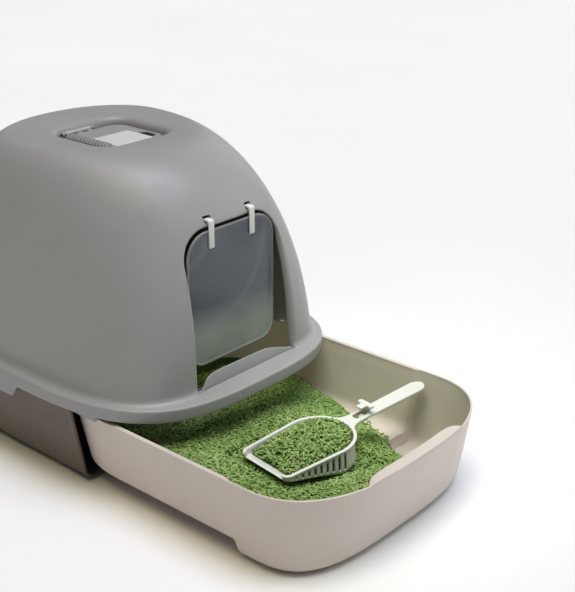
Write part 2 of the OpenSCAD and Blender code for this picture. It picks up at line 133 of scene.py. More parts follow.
def scale3(c, k):
    return tuple(min(1.0, x * k) for x in c)


def moulded(name, col, rough=0.42, var=0.05, grain=0.12, spec=0.45, scuff=0.5, tint=None):
    """injection-moulded plastic: faint clouding, fine spark texture, rubbed patches and hairline scuffs"""
    m, nt, b, v = new_mat(name)
    cloud = noise(nt, v, 9.0, 3.0, 0.55, 0.6)
    fine = noise(nt, v, 900.0, 2.0, 0.6)
    base = ramp(nt, cloud, [(0.30, scale3(col, 1 - var)), (0.52, col), (0.75, scale3(col, 1 + var))])
    speck = ramp(nt, fine, [(0.35, (0.94, 0.94, 0.94)), (0.5, (1, 1, 1)), (0.68, (1.0, 1.0, 1.0))])
    base = mixc(nt, 0.5, base, speck, "MULTIPLY")
    if tint:
        big = noise(nt, v, 3.2, 1.0, 0.4)
        f = span(nt, big, 0.4, 0.65, 0.0, 0.35)
        base = mixc(nt, f, base, tint)
    # hairlines that handling leaves, in two directions
    s1 = noise(nt, stretch(nt, v, 12, 420, 420), 1.0, 3.0, 0.6, 0.5)
    s2 = noise(nt, stretch(nt, v, 380, 14, 380), 1.0, 3.0, 0.6, 0.5)
    h1 = span(nt, s1, 0.66, 0.72, 0.0, 1.0)
    h2 = span(nt, s2, 0.67, 0.73, 0.0, 1.0)
    add = nt.nodes.new("ShaderNodeMath")
    add.operation = "MAXIMUM"
    nt.links.new(h1, add.inputs[0])
    nt.links.new(h2, add.inputs[1])
    hair = span(nt, add.outputs[0], 0, 1, 0.0, 0.10 * scuff)
    base = mixc(nt, hair, base, scale3(col, 1.5))
    nt.links.new(base, b.inputs["Base Color"])
    rub = noise(nt, v, 26.0, 4.0, 0.6, 0.8)
    r = span(nt, rub, 0.3, 0.72, rough - 0.05, rough + 0.07)
    radd = nt.nodes.new("ShaderNodeMath")
    radd.operation = "ADD"
    nt.links.new(r, radd.inputs[0])
    nt.links.new(span(nt, add.outputs[0], 0, 1, 0.0, 0.12 * scuff), radd.inputs[1])
    nt.links.new(radd.outputs[0], b.inputs["Roughness"])
    b.inputs["Specular IOR Level"].default_value = spec
    waves = noise(nt, v, 14.0, 2.0, 0.5)
    k = bump(nt, b, waves, 0.10, 0.0012)
    bump(nt, b, fine, grain, 0.00012, k)
    return m


M = {}
M["hood"] = moulded("satin_grey_plastic", (0.312, 0.309, 0.306), 0.40, 0.035, 0.14, 0.45)
M["base"] = moulded("dark_taupe_plastic", (0.127, 0.096, 0.075), 0.48, 0.06, 0.16, 0.4)
M["drawer"] = moulded("warm_white_plastic", (0.635, 0.560, 0.500), 0.36, 0.03, 0.08, 0.5)
M["white"] = moulded("clean_white_plastic", (0.70, 0.695, 0.675), 0.33, 0.03, 0.06, 0.5)
M["plate"] = moulded("vent_plate_plastic", (0.60, 0.60, 0.59), 0.42, 0.03, 0.08, 0.4)
M["scoop"] = moulded("ivory_white_plastic", (0.70, 0.69, 0.64), 0.30, 0.03, 0.05, 0.5)
M["lid"] = moulded("vent_grey_plastic", (0.285, 0.288, 0.286), 0.46, 0.05, 0.16, 0.4)
# paler grey for the upper faces of the hinge barrel: a painted highlight, not a different plastic
M["barrel"] = moulded("vent_barrel_painted_highlight", (0.43, 0.43, 0.425), 0.40, 0.04, 0.10, 0.4)
M["pin"] = moulded("dark_pin_plastic", (0.035, 0.035, 0.036), 0.5, 0.1, 0.2, 0.4)


def smoky():
    """see-through smoky flap: cool and darker above; paler and greener below, where the lit litter behind it is
    painted into its colour, with soft flow marks and wipe arcs
    """
    m, nt, b, v = new_mat("smoky_flap_plastic")
    sep = nt.nodes.new("ShaderNodeSeparateXYZ")
    nt.links.new(v, sep.inputs[0])
    c = noise(nt, v, 7.0, 2.0, 0.5, 1.4)
    # paler, greener tone towards the bottom: painted light of the litter seen through the flap; the darker smoky tone
    # above is the flap's own colour
    h = span(nt, sep.outputs["Z"], 0.190, 0.236, 0.0, 1.0)
    low = ramp(nt, c, [(0.3, (0.375, 0.415, 0.360)), (0.7, (0.435, 0.470, 0.415))])
    high = ramp(nt, c, [(0.3, (0.108, 0.126, 0.162)), (0.7, (0.165, 0.186, 0.225))])
    hm = nt.nodes.new("ShaderNodeMath")
    hm.operation = "ADD"
    nt.links.new(h, hm.inputs[0])
    nt.links.new(span(nt, noise(nt, v, 8.0, 1.0, 0.4, 0.5), 0.3, 0.7, -0.12, 0.12), hm.inputs[1])
    f = span(nt, hm.outputs[0], 0.08, 0.85, 0.0, 1.0)
    col = mixc(nt, f, low, high)
    # wipe arcs: faint pale curves
    wv = nt.nodes.new("ShaderNodeTexWave")
    wv.wave_type = "RINGS"
    wv.rings_direction = "Y"
    wv.inputs["Scale"].default_value = 3.4
    wv.inputs["Distortion"].default_value = 2.4
    wv.inputs["Detail"].default_value = 1.0
    wv.inputs["Detail Scale"].default_value = 1.1
    off = nt.nodes.new("ShaderNodeMapping")
    off.inputs["Location"].default_value = (0.075, 0.0, -0.335)
    nt.links.new(v, off.inputs["Vector"])
    nt.links.new(off.outputs[0], wv.inputs["Vector"])
    arcs = span(nt, wv.outputs["Fac"], 0.955, 1.0, 0.0, 0.17)
    col = mixc(nt, arcs, col, (0.40, 0.42, 0.42))
    nt.links.new(col, b.inputs["Base Color"])
    wipe = noise(nt, stretch(nt, v, 24, 24, 7), 1.0, 2.0, 0.5, 1.0)
    nt.links.new(span(nt, wipe, 0.3, 0.75, 0.13, 0.24), b.inputs["Roughness"])
    b.inputs["IOR"].default_value = 1.46
    b.inputs["Specular IOR Level"].default_value = 0.75
    lw = nt.nodes.new("ShaderNodeLayerWeight")
    lw.inputs["Blend"].default_value = 0.25
    al = span(nt, c, 0.3, 0.7, 0.50, 0.58)
    ad = nt.nodes.new("ShaderNodeMath")
    ad.operation = "ADD"
    ad.use_clamp = True
    nt.links.new(al, ad.inputs[0])
    nt.links.new(span(nt, lw.outputs["Fresnel"], 0.0, 1.0, 0.0, 0.5), ad.inputs[1])
    nt.links.new(ad.outputs[0], b.inputs["Alpha"])
    w = noise(nt, v, 9.0, 1.0, 0.4, 0.4)
    bump(nt, b, w, 0.05, 0.0006)
    return m


M["flap"] = smoky()


def bead_mat():
    """the flap's thick rim: the same plastic, milkier where it is thick"""
    m, nt, b, v = new_mat("smoky_flap_rim")
    c = noise(nt, v, 16.0, 3.0, 0.5, 0.8)
    nt.links.new(ramp(nt, c, [(0.3, (0.225, 0.232, 0.226)), (0.7, (0.290, 0.295, 0.286))]), b.inputs["Base Color"])
    nt.links.new(span(nt, noise(nt, v, 40.0, 3.0, 0.6), 0.3, 0.7, 0.18, 0.32), b.inputs["Roughness"])
    b.inputs["Specular IOR Level"].default_value = 0.7
    nt.links.new(span(nt, c, 0.3, 0.7, 0.62, 0.74), b.inputs["Alpha"])
    bump(nt, b, noise(nt, v, 120.0, 2.0, 0.5), 0.08, 0.0004)
    return m


M["bead"] = bead_mat()


def rubber():
    m, nt, b, v = new_mat("soft_black_rubber")
    n = noise(nt, v, 1400.0, 3.0, 0.6)
    g = noise(nt, v, 60.0, 3.0, 0.6)
    nt.links.new(ramp(nt, g, [(0.3, (0.018, 0.018, 0.018)), (0.7, (0.034, 0.033, 0.032))]), b.inputs["Base Color"])
    nt.links.new(span(nt, g, 0.3, 0.7, 0.7, 0.88), b.inputs["Roughness"])
    bump(nt, b, n, 0.5, 0.0003)
    return m


M["rubber"] = rubber()


def foam():
    m, nt, b, v = new_mat("charcoal_foam")
    vo = nt.nodes.new("ShaderNodeTexVoronoi")
    vo.inputs["Scale"].default_value = 620.0
    nt.links.new(v, vo.inputs["Vector"])
    g = noise(nt, v, 200.0, 3.0, 0.7)
    nt.links.new(ramp(nt, vo.outputs["Distance"], [(0.0, (0.006, 0.006, 0.006)), (0.45, (0.03, 0.03, 0.03)), (0.9, (0.055, 0.054, 0.052))]), b.inputs["Base Color"])
    nt.links.new(span(nt, g, 0.3, 0.7, 0.85, 1.0), b.inputs["Roughness"])
    bump(nt, b, vo.outputs["Distance"], 1.0, 0.0012)
    return m


M["foam"] = foam()


def pellets_mat(name, k=1.0):
    """pressed plant fibre: each stick has its own green, with pale fibre ends and a chalky bloom"""
    m, nt, b, v = new_mat(name)
    at = nt.nodes.new("ShaderNodeAttribute")
    at.attribute_name = "tone"
    col = ramp(nt, at.outputs["Fac"], [
        (0.0, scale3((0.105, 0.175, 0.040), k)), (0.25, scale3((0.185, 0.290, 0.075), k)), (0.5, scale3((0.262, 0.395, 0.118), k)),
        (0.75, scale3((0.390, 0.495, 0.185), k)), (1.0, scale3((0.520, 0.610, 0.320), k))])
    f = noise(nt, v, 1500.0, 3.0, 0.7)
    fib = ramp(nt, f, [(0.3, (0.72, 0.74, 0.70)), (0.55, (1, 1, 1)), (0.8, (1.0, 1.0, 0.96))])
    col = mixc(nt, 0.75, col, fib, "MULTIPLY")
    nt.links.new(col, b.inputs["Base Color"])
    nt.links.new(span(nt, f, 0.3, 0.7, 0.72, 0.92), b.inputs["Roughness"])
    b.inputs["Specular IOR Level"].default_value = 0.25
    bump(nt, b, f, 0.6, 0.0004)
    return m


M["pellet"] = pellets_mat("green_pellets", 0.96)


def bed_mat():
    m, nt, b, v = new_mat("packed_litter_painted_shade")
    f = noise(nt, v, 320.0, 4.0, 0.7, 0.8)
    vo = nt.nodes.new("ShaderNodeTexVoronoi")
    vo.inputs["Scale"].default_value = 260.0
    nt.links.new(v, vo.inputs["Vector"])
    # the litter's green, darkened far below the pellets' own: painted shade in the gaps between the pellets
    col = ramp(nt, f, [(0.3, (0.018, 0.032, 0.010)), (0.5, (0.045, 0.085, 0.025)), (0.7, (0.095, 0.170, 0.052))])
    nt.links.new(col, b.inputs["Base Color"])
    b.inputs["Roughness"].default_value = 0.9
    b.inputs["Specular IOR Level"].default_value = 0.15
    bump(nt, b, vo.outputs["Distance"], 1.0, 0.002)
    return m


M["bed"] = bed_mat()


# ------------------------------------------------------------------ mesh help

class Shell:
    """collects patches in millimetres, welds them and makes one mesh object"""

    def __init__(self):
        self.v, self.f = [], []

    def pts(self, P):
        o = len(self.v)
        self.v.extend([tuple(p) for p in np.asarray(P, float).reshape(-1, 3)])
        return o

    def grid(self, P, closed=False, flip=False):
        P = np.asarray(P, float)
        R, C, _ = P.shape
        o = self.pts(P)
        n = C if closed else C - 1
        for r in range(R - 1):
            for c in range(n):
                a, b = o + r * C + c, o + r * C + (c + 1) % C
                d, e = o + (r + 1) * C + c, o + (r + 1) * C + (c + 1) % C
                self.f.append((a, d, e, b) if flip else (a, b, e, d))

    def ngon(self, P, flip=False):
        o = self.pts(P)
        idx = list(range(o, o + len(P)))
        self.f.append(tuple(reversed(idx)) if flip else tuple(idx))

    def ladder(self, ring, flip=False, steps=1):
        """fills a closed ring that is the same on both sides; index 0 is its front centre"""
        ring = np.asarray(ring, float)
        n = len(ring) // 2
        rows = []
        for i in range(n + 1):
            a, b = ring[i], ring[(2 * n - i) % (2 * n)]
            rows.append([a + (b - a) * k / steps for k in range(steps + 1)])
        self.grid(np.array(rows), flip=flip)

    def build(self, name, mat, body, replaces=(), angle=40.0, weld=0.012, recalc=True):
        me = bpy.data.meshes.new(name)
        V = np.array(self.v)
        V[:, 1] += YO
        me.from_pydata((V * MM).tolist(), [], self.f)
        bm = bmesh.new()
        bm.from_mesh(me)
        bmesh.ops.remove_doubles(bm, verts=bm.verts, dist=weld * MM)
        bmesh.ops.dissolve_degenerate(bm, dist=1e-6, edges=bm.edges)
        loose = [v for v in bm.verts if not v.link_faces]
        bmesh.ops.delete(bm, geom=loose, context="VERTS")
        if recalc:
            bmesh.ops.recalc_face_normals(bm, faces=bm.faces)
        bm.to_mesh(me)
        bm.free()
        return finish_mesh(name, me, mat, body, replaces, angle)


def finish_mesh(name, me, mat, body, replaces=(), angle=40.0):
    me.validate()
    me.shade_smooth()
    if angle is not None:
        me.set_sharp_from_angle(angle=math.radians(angle))
    o = bpy.data.objects.new(name, me)
    bpy.context.scene.collection.objects.link(o)
    me.materials.append(mat)
    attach(o, body)
    if replaces:
        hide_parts(*replaces)
    return o


def smooth01(t):
    t = np.clip(t, 0, 1)
    return t * t * (3 - 2 * t)


def half_curve(w, yf, ycf, nf, ycb, yb, nb, K=260):
    """right half of a superellipse outline, from the front centre to the back centre"""
    t = np.linspace(0, 1, K)
    mf, mb = 2 ** (-1 / nf), 2 ** (-1 / nb)
    xa = t * mf
    ya = (1 - xa ** nf) ** (1 / nf)
    yb_ = mf * (1 - t)
    xb = (1 - yb_ ** nf) ** (1 / nf)
    D, B = ycf - yf, yb - ycb
    fr = np.stack([np.r_[w * xa, w * xb[1:]], ycf - D * np.r_[ya, yb_[1:]]], 1)
    yc_ = t * mb
    xc = (1 - yc_ ** nb) ** (1 / nb)
    xd = mb * (1 - t)
    yd = (1 - xd ** nb) ** (1 / nb)
    bk = np.stack([np.r_[w * xc, w * xd[1:]], ycb + B * np.r_[yc_, yd[1:]]], 1)
    if abs(ycf - ycb) < 1e-6:
        bk = bk[1:]
    return np.vstack([fr, bk])


def half_square(hx, hy, r, yc, K=60):
    """right half of a rounded rectangle"""
    r = max(r, 0.01)
    a = np.linspace(0, math.pi / 2, K)
    p = [(0, yc - hy)]
    p += [(hx - r + r * math.sin(t), yc - hy + r - r * math.cos(t)) for t in a]
    p += [(hx - r + r * math.cos(t), yc + hy - r + r * math.sin(t)) for t in a]
    p += [(0, yc + hy)]
    return np.array(p)


def resample(poly, fr):
    poly = np.asarray(poly, float)
    d = np.r_[0, np.cumsum(np.linalg.norm(np.diff(poly, axis=0), axis=1))]
    s = np.asarray(fr) * d[-1]
    return np.stack([np.interp(s, d, poly[:, k]) for k in range(poly.shape[1])], 1)


def ring_of(half, fr):
    """closed ring of 2N points from a half outline; index 0 is the front centre"""
    r = resample(half, fr)
    l = r[1:-1][::-1].copy()
    l[:, 0] *= -1
    return np.vstack([r, l])


def lift(ring, z):
    z = np.broadcast_to(z, (len(ring),))
    return np.column_stack([ring, z])


def bevel_obj(o, width, segs=2, angle=35):
    m = o.modifiers.new("bevel", "BEVEL")
    m.width = width * MM
    m.segments = segs
    m.limit_method = "ANGLE"
    m.angle_limit = math.radians(angle)
    m.harden_normals = False
    return m


def apply_mods(o):
    dg = bpy.context.evaluated_depsgraph_get()
    me = bpy.data.meshes.new_from_object(o.evaluated_get(dg))
    old = o.data
    o.modifiers.clear()
    o.data = me
    bpy.data.meshes.remove(old)
    return o


# ------------------------------------------------------------------ hood

def dome_par(z):
    s = np.clip((np.asarray(z, float) - FZ) / (H - FZ), 0, 1)
    w = 119.1 + 75.3 * (1 - s ** 1.5) ** 0.52
    yf = (YC - 145) - (YC - 145 - 28.3) * (1 - s ** 2.825) ** 0.42
    yb = YC + 91 + (480 - YC - 91) * (1 - s ** 2.971) ** 0.604
    n = 4.6 - 2.5 * s
    return w, yf, yb, n


def dome_half(z, t=0.0):
    w, yf, yb, n = dome_par(z + t)
    return half_curve(w - t, yf + 1.05 * t, YC, n, YC, yb - t, n)


def dome_front(x, z, t=0.0):
    w, yf, yb, n = dome_par(np.asarray(z, float) + t)
    w, yf = w - t, yf + 1.05 * t
    return YC - (YC - yf) * np.maximum(0, 1 - (np.abs(x) / w) ** n) ** (1 / n)


RFL = 9.0           # fillet between the dome and the flange


def foot_out(h):
    h = np.clip(h, 0, RFL)
    return RFL - np.sqrt(np.maximum(0, RFL ** 2 - (RFL - h) ** 2))


def flare(P):
    """pushes dome points outward near the flange"""
    P = np.array(P, float)
    z = P[..., 2]
    w, yf, yb, n = dome_par(z)
    D = np.where(P[..., 1] < YC, YC - yf, yb - YC)
    gx = n / w * np.minimum(1, np.abs(P[..., 0]) / w) ** (n - 1) * np.sign(P[..., 0])
    gy = n / D * np.minimum(1, np.abs(P[..., 1] - YC) / D) ** (n - 1) * np.sign(P[..., 1] - YC)
    g = np.sqrt(gx ** 2 + gy ** 2) + 1e-9
    e = foot_out(z - FZ)
    P[..., 0] += gx / g * e
    P[..., 1] += gy / g * e
    return P


def build_hood():
    N = 190
    fr = np.linspace(0, 1, N + 1)
    c = 29
    S = Shell()
    # rows of the dome
    q = np.linspace(0.0, 1.0, 84)
    hs = 9.0 / (H - FZ)
    q0 = 1 - (1 - hs) ** (1 / 2.2)
    rows_z = [FZ + h for h in (0, .35, 1.0, 2.0, 3.3, 5.0, 7.0)]
    rows_z += [FZ + (H - FZ) * (1 - (1 - (q0 + (1 - q0) * k)) ** 2.2) for k in q]
    rows_z = np.array(rows_z)
    k1 = int(np.argmin(np.abs(rows_z - 357.0)))
    outer = np.array([flare(lift(ring_of(dome_half(z), fr), z)) for z in rows_z])
    inner = np.array([lift(ring_of(dome_half(z - 3.0, 3.0), fr), z - 3.0) for z in rows_z])

    def outline(off, zb):
        """door outline in x, z: left foot, over the arch, right foot"""
        r = 45 + off
        cx, cz = 41.0, 290.0
        zr = (rows_z[:k1 + 1] - FZ) / (rows_z[k1] - FZ)
        a = np.radians(np.linspace(180, 135, 24))
        left = [(-90 - off, zb)] + [(-cx + r * math.cos(t), cz + r * math.sin(t)) for t in a]
        L = resample(left, zr)
        a = np.radians(np.linspace(135, 90, 24))
        top = [(-cx + r * math.cos(t), cz + r * math.sin(t)) for t in a]
        full = np.array(top + [(-x, z) for x, z in top[::-1]])
        T = resample(full, np.linspace(0, 1, 2 * c + 1))
        R = L[::-1].copy()
        R[:, 0] *= -1
        return np.vstack([L, T[1:-1], R])

    def patch(G):
        """boundary of the door patch on grid G, in the same order"""
        n2 = G.shape[1]
        L = G[:k1 + 1, (n2 - c) % n2]
        T = np.array([G[k1, i % n2] for i in range(-c, c + 1)])
        R = G[:k1 + 1, c][::-1]
        return np.vstack([L, T[1:-1], R])

    n2 = 2 * N
    # grids outside the patch
    for G, flip in ((outer, False), (inner, True)):
        S.grid(G[:k1 + 1, c:n2 - c + 1], flip=flip)
        S.grid(G[k1:], closed=True, flip=flip)

    # strip round the door, outside
    Pb = patch(np.array([lift(ring_of(dome_half(z), fr), z) for z in rows_z]))[:, [0, 2]]
    O0 = outline(0, FZ)
    dist = np.linalg.norm(Pb - O0, axis=1)
    rf = 4.2 + 3.2 * (1 - smooth01((O0[:, 1] - 262) / 50))
    loops = []
    for q_ in (0, .05, .13, .25, .40, .60, .80, 1.0):
        d = q_ * rf
        t = (d / dist)[:, None]
        X = O0 * (1 - t) + Pb * t
        y = dome_front(X[:, 0], X[:, 1])
        P = flare(np.column_stack([X[:, 0], y, X[:, 1]]))
        P[:, 1] += rf - np.sqrt(np.maximum(0, rf ** 2 - (rf - d) ** 2))
        loops.append(P)
    for k in (1, 2, 3, 4, 5, 6):
        t = (rf / dist + (1 - rf / dist) * k / 6)[:, None]
        X = O0 * (1 - t) + Pb * t
        y = dome_front(X[:, 0], X[:, 1])
        loops.append(flare(np.column_stack([X[:, 0], y, X[:, 1]])))
    loops[-1] = patch(outer)
    strip = np.array(loops)
    S.grid(strip, flip=True)
    # jamb and its return
    zt = O0[:, 1]
    dep = 11.5 - 5.5 * smooth01((zt - 275) / 45)
    yface = dome_front(O0[:, 0], O0[:, 1])
    jamb = [strip[0]]
    back = yface + dep
    for off, dy in ((0, -2.5), (0, -0.9), (.25, -.3), (.85, 0), (1.7, 0), (2.3, -.3), (2.6, -.9)):
        X = outline(off, FZ)
        jamb.append(np.column_stack([X[:, 0], back + dy, X[:, 1]]))
    # inner strip
    X = outline(2.6, FZ - 3.0)
    jamb.append(np.column_stack([X[:, 0], dome_front(X[:, 0], X[:, 1], 3.0) + 1.2, X[:, 1]]))
    S.grid(np.array(jamb), flip=False)
    Pi = patch(inner)
    il = [jamb[-1]]
    for k in (0.06, 0.25, 0.5, 0.75, 1.0):
        t = k
        Xk = X * (1 - t) + Pi[:, [0, 2]] * t
        il.append(np.column_stack([Xk[:, 0], dome_front(Xk[:, 0], Xk[:, 1], 3.0), Xk[:, 1]]))
    il[-1] = Pi
    S.grid(np.array(il), flip=False)

    # flange
    def flange(t):
        return ring_of(half_curve(210 - t, t, 247.5, 3.2, 247.5, 495 - t, 4.6), fr)

    def zlow(ring):
        y = ring[:, 1]
        side = smooth01((y - 246) / 15) * smooth01((394 - y) / 15)
        return 117.1 - 17.0 * side

    foot = outer[0]
    rim = lift(flange(2.6), FZ)
    mid1 = foot + (rim - foot) * 0.35
    mid2 = foot + (rim - foot) * 0.7
    prof = [(1.6, -.12), (.8, -.55), (.25, -1.3), (0, -2.3)]
    rows = [rim] + [lift(flange(t), FZ + dz) for t, dz in prof]
    fl0 = flange(0)
    zl = zlow(fl0)
    for k in (0.25, 0.5, 0.75):
        rows.append(lift(fl0, (FZ - 2.3) * (1 - k) + (zl + 1.3) * k))
    for t, dz in ((0, 1.3), (.25, .55), (.8, .1), (1.5, 0), (2.2, .1), (2.75, .55), (3.0, 1.3)):
        rows.append(lift(flange(t), zl + dz))
    rows.append(lift(flange(3.0), FZ - 4.4))
    rows.append(lift(flange(3.4), FZ - 3.3))
    rows.append(lift(flange(4.4), FZ - 3.0))
    rows = np.array(rows)
    S.grid(rows, closed=True, flip=True)
    plate = np.array([foot, mid1, mid2, rim])
    S.grid(plate[:, c:n2 - c + 1], flip=True)
    low = rows[-1]
    under = np.array([inner[0], inner[0] + (low - inner[0]) * 0.5, low])
    S.grid(under[:, c:n2 - c + 1], flip=False)
    # the doorway's part of the plate
    front = [rim[i % n2] for i in range(-c, c + 1)]
    right = [mid2[c], mid1[c]] + [strip[k][-1] for k in range(len(strip) - 1, -1, -1)] + [j[-1] for j in jamb[1:-1]]
    left = [(-x, y, z) for x, y, z in right[::-1]]
    S.ngon(front + right + left, flip=False)
    front = [low[i % n2] for i in range(-c, c + 1)]
    right = [under[1][c]] + [il[k][-1] for k in range(len(il) - 1, -1, -1)]
    left = [(-x, y, z) for x, y, z in right[::-1]]
    S.ngon(front + right + left, flip=True)
    S.grid(np.array([[jamb[-2][0], jamb[-2][-1]], [jamb[-1][0], jamb[-1][-1]]]))

    # crown and recess, seen from above
    def rsq(o, h=59.0, r=28.0):
        return ring_of(half_square(h + o, h + o, r + o, RY), fr)

    E0 = outer[-1]
    goal = rsq(15.0)
    top = []
    for k in np.linspace(0, 1, 12)[:]:
        R2 = E0[:, :2] * (1 - k) + goal * k
        top.append(lift(R2, H - 1.0 * k ** 1.8))
    for o, z in ((12.8, 412.85), (10.9, 412.55), (9.1, 412.1), (7.4, 411.45), (5.8, 410.55), (4.4, 409.4), (3.2, 408.05), (2.2, 406.5), (1.4, 404.7),
                 (.8, 402.7), (.4, 400.7), (0, 399.0), (-.6, 397.7), (-1.6, 396.7), (-3.0, 396.15), (-4.6, 396.0)):
        top.append(lift(rsq(o), z))

    def pock(o):
        return ring_of(half_square(30 + o, 39 + o, 6 + o, RY), fr) + np.array([-9.0, 0.0])

    for o, z in ((1.2, 396.0), (.5, 395.8), (.1, 395.3), (0, 394.6), (0, 384.2), (-.5, 383.3), (-1.4, 383.0)):
        top.append(lift(pock(o), z))
    top = np.array(top)
    S.grid(top, closed=True, flip=False)
    S.ngon(top[-1])
    # underneath
    bot = []
    Ei = inner[-1]
    goal = rsq(14.0)
    for k in np.linspace(0, 1, 6):
        R2 = Ei[:, :2] * (1 - k) + goal * k
        bot.append(lift(R2, H - 3.0 - 1.4 * k))
    for o, z in ((10.5, 408.9), (7.4, 407.2), (5.2, 404.6), (3.6, 401.0), (2.8, 397.0), (1.8, 394.6), (0, 393.5)):
        bot.append(lift(rsq(o), z))
    for o, z in ((3.6, 393.5), (2.7, 393.1), (2.4, 392.2), (2.4, 382.6), (1.9, 381.4), (.8, 381.0)):
        bot.append(lift(pock(o), z))
    bot = np.array(bot)
    S.grid(bot, closed=True, flip=True)
    S.ngon(bot[-1], flip=True)
    o = S.build("hood", M["hood"], "hood", ("hood_shell",), angle=38)
    return o


def cut(o, cutters, op="DIFFERENCE"):
    """boolean with several closed solids"""
    coll = bpy.data.collections.new("cutters")
    bpy.context.scene.collection.children.link(coll)
    for k in cutters:
        for c in list(k.users_collection):
            c.objects.unlink(k)
        coll.objects.link(k)
    m = o.modifiers.new("cut", "BOOLEAN")
    m.operation = op
    m.operand_type = "COLLECTION"
    m.collection = coll
    m.solver = "MANIFOLD"
    apply_mods(o)
    for k in cutters:
        me = k.data
        bpy.data.objects.remove(k)
        bpy.data.meshes.remove(me)
    bpy.data.collections.remove(coll)
    return o


def box_cutter(x0, x1, y0, y1, z0, z1, r=0.0, axis="z"):
    """closed prism, rounded in the plane across axis"""
    lim = {"x": ((y0, y1), (z0, z1), (x0, x1)), "y": ((x0, x1), (z0, z1), (y0, y1)), "z": ((x0, x1), (y0, y1), (z0, z1))}[axis]
    (a0, a1), (b0, b1), (h0, h1) = lim
    pts = []
    if r > 0:
        for cx, cy, st in ((a1 - r, b1 - r, 0), (a0 + r, b1 - r, 90), (a0 + r, b0 + r, 180), (a1 - r, b0 + r, 270)):
            for k in range(9):
                t = math.radians(st + 90 * k / 8)
                pts.append((cx + r * math.cos(t), cy + r * math.sin(t)))
    else:
        pts = [(a0, b0), (a1, b0), (a1, b1), (a0, b1)]
    put = {"x": lambda a, b, h: (h, a, b), "y": lambda a, b, h: (a, h, b), "z": lambda a, b, h: (a, b, h)}[axis]
    n = len(pts)
    V = [put(a, b, h0) for a, b in pts] + [put(a, b, h1) for a, b in pts]
    F = [tuple(range(n)), tuple(range(2 * n - 1, n - 1, -1))] + [(i, n + i, n + (i + 1) % n, (i + 1) % n) for i in range(n)]
    me = bpy.data.meshes.new("cutter")
    W = np.array(V, float)
    W[:, 1] += YO
    me.from_pydata((W * MM).tolist(), [], F)
    bm = bmesh.new()
    bm.from_mesh(me)
    bmesh.ops.recalc_face_normals(bm, faces=bm.faces)
    bm.to_mesh(me)
    bm.free()
    o = bpy.data.objects.new("cutter", me)
    bpy.context.scene.collection.objects.link(o)
    return o


hood = build_hood()
cuts = [box_cutter(s * 36.7 - 6, s * 36.7 + 6, 40, 90, 340.2, 348.4, 1.2, "y") for s in (-1, 1)]
cuts += [box_cutter(i * 8 - 10.6, i * 8 - 7.4, RY - 30, RY + 30, 376, 390, 1.5, "z") for i in range(-3, 4)]
# well for a fingertip, under the lid's finger hole
cut(hood, [box_cutter(24.1, 45.9, 228.6, 263.4, 382.6, 395.0, 8.0, "z")], "UNION")
cuts += [box_cutter(26.5, 43.5, 231.0, 261.0, 385.0, 402.0, 6.0, "z")]
# the line where the litter guard rises from the sill
cuts += [box_cutter(-88, 88, 32.1, 33.25, 133.5, 136, 0, "z")]
cut(hood, cuts)
hood.data.shade_smooth()
hood.data.set_sharp_from_angle(angle=math.radians(38))
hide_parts("hood_shell")


def build_sill():
    """litter guard across the doorway: steep at its left end, running out gently to the right"""
    xs = np.linspace(-89.5, 89.5, 120)
    pts = [(-91, 0), (-82, .4), (-79, 2), (-75, 7), (-71, 11), (-66, 13.6), (-58, 15.2), (-45, 16), (-10, 15.6), (30, 15), (42, 14.4),
           (55, 11.6), (66, 8.4), (78, 4.6), (90, 1.6)]
    px, ph = zip(*pts)
    h = np.interp(xs, px, ph)
    for _ in range(6):
        h[1:-1] = 0.25 * h[:-2] + 0.5 * h[1:-1] + 0.25 * h[2:]
    S = Shell()
    lean = 0.26
    secs = []
    for x, hh in zip(xs, h):
        z0 = FZ - 2.9
        t = 2.6
        r = min(1.2, t / 2)
        y0 = 33.32
        P = [(y0, z0), (y0, FZ), (y0 + lean * max(hh - r, 0), FZ + max(hh - r, 0))]
        cy, cz = y0 + lean * max(hh - r, 0), FZ + max(hh - r, 0)
        for k in (30, 60, 90):
            a = math.radians(k)
            P.append((cy + r - r * math.cos(a), cz + r * math.sin(a)))
        for k in (60, 30):
            a = math.radians(k)
            P.append((cy + t - r + r * math.cos(a), cz + r * math.sin(a)))
        P += [(cy + t, cz), (y0 + t, FZ), (y0 + t + 3.5, FZ), (y0 + t + 3.5, z0)]
        secs.append([(x, y, z) for y, z in P])
    G = np.array(secs)
    S.grid(G, closed=True)
    S.ngon(G[0])
    S.ngon(G[-1], flip=True)
    return S.build("door_sill", M["hood"], "hood", (), angle=35)


build_sill()


def build_rails():
    """guide rails under the flange, beside the drawer's rim"""
    S = Shell()
    for s in (-1, 1):
        secs = []
        for y in np.r_[107, 108, 110, np.linspace(114, 168, 10), 172, 174, 175]:
            e = max(0.0, 3.0 - min(y - 107, 175 - y))
            zb = 108.6 + 6.0 * (e / 3.0) ** 2
            sec = [(-1.5, 131.6), (-1.5, zb + 1.2), (-1.1, zb + .3), (-.4, zb), (.4, zb), (1.1, zb + .3), (1.5, zb + 1.2), (1.5, 131.6)]
            secs.append([(s * (194.0 + a), y, z) for a, z in sec])
        G = np.array(secs)
        S.grid(G, closed=True)
        S.ngon(G[0])
        S.ngon(G[-1], flip=True)
    return S.build("flange_rails", M["hood"], "hood", (), angle=40)


build_rails()


# ------------------------------------------------------------------ base

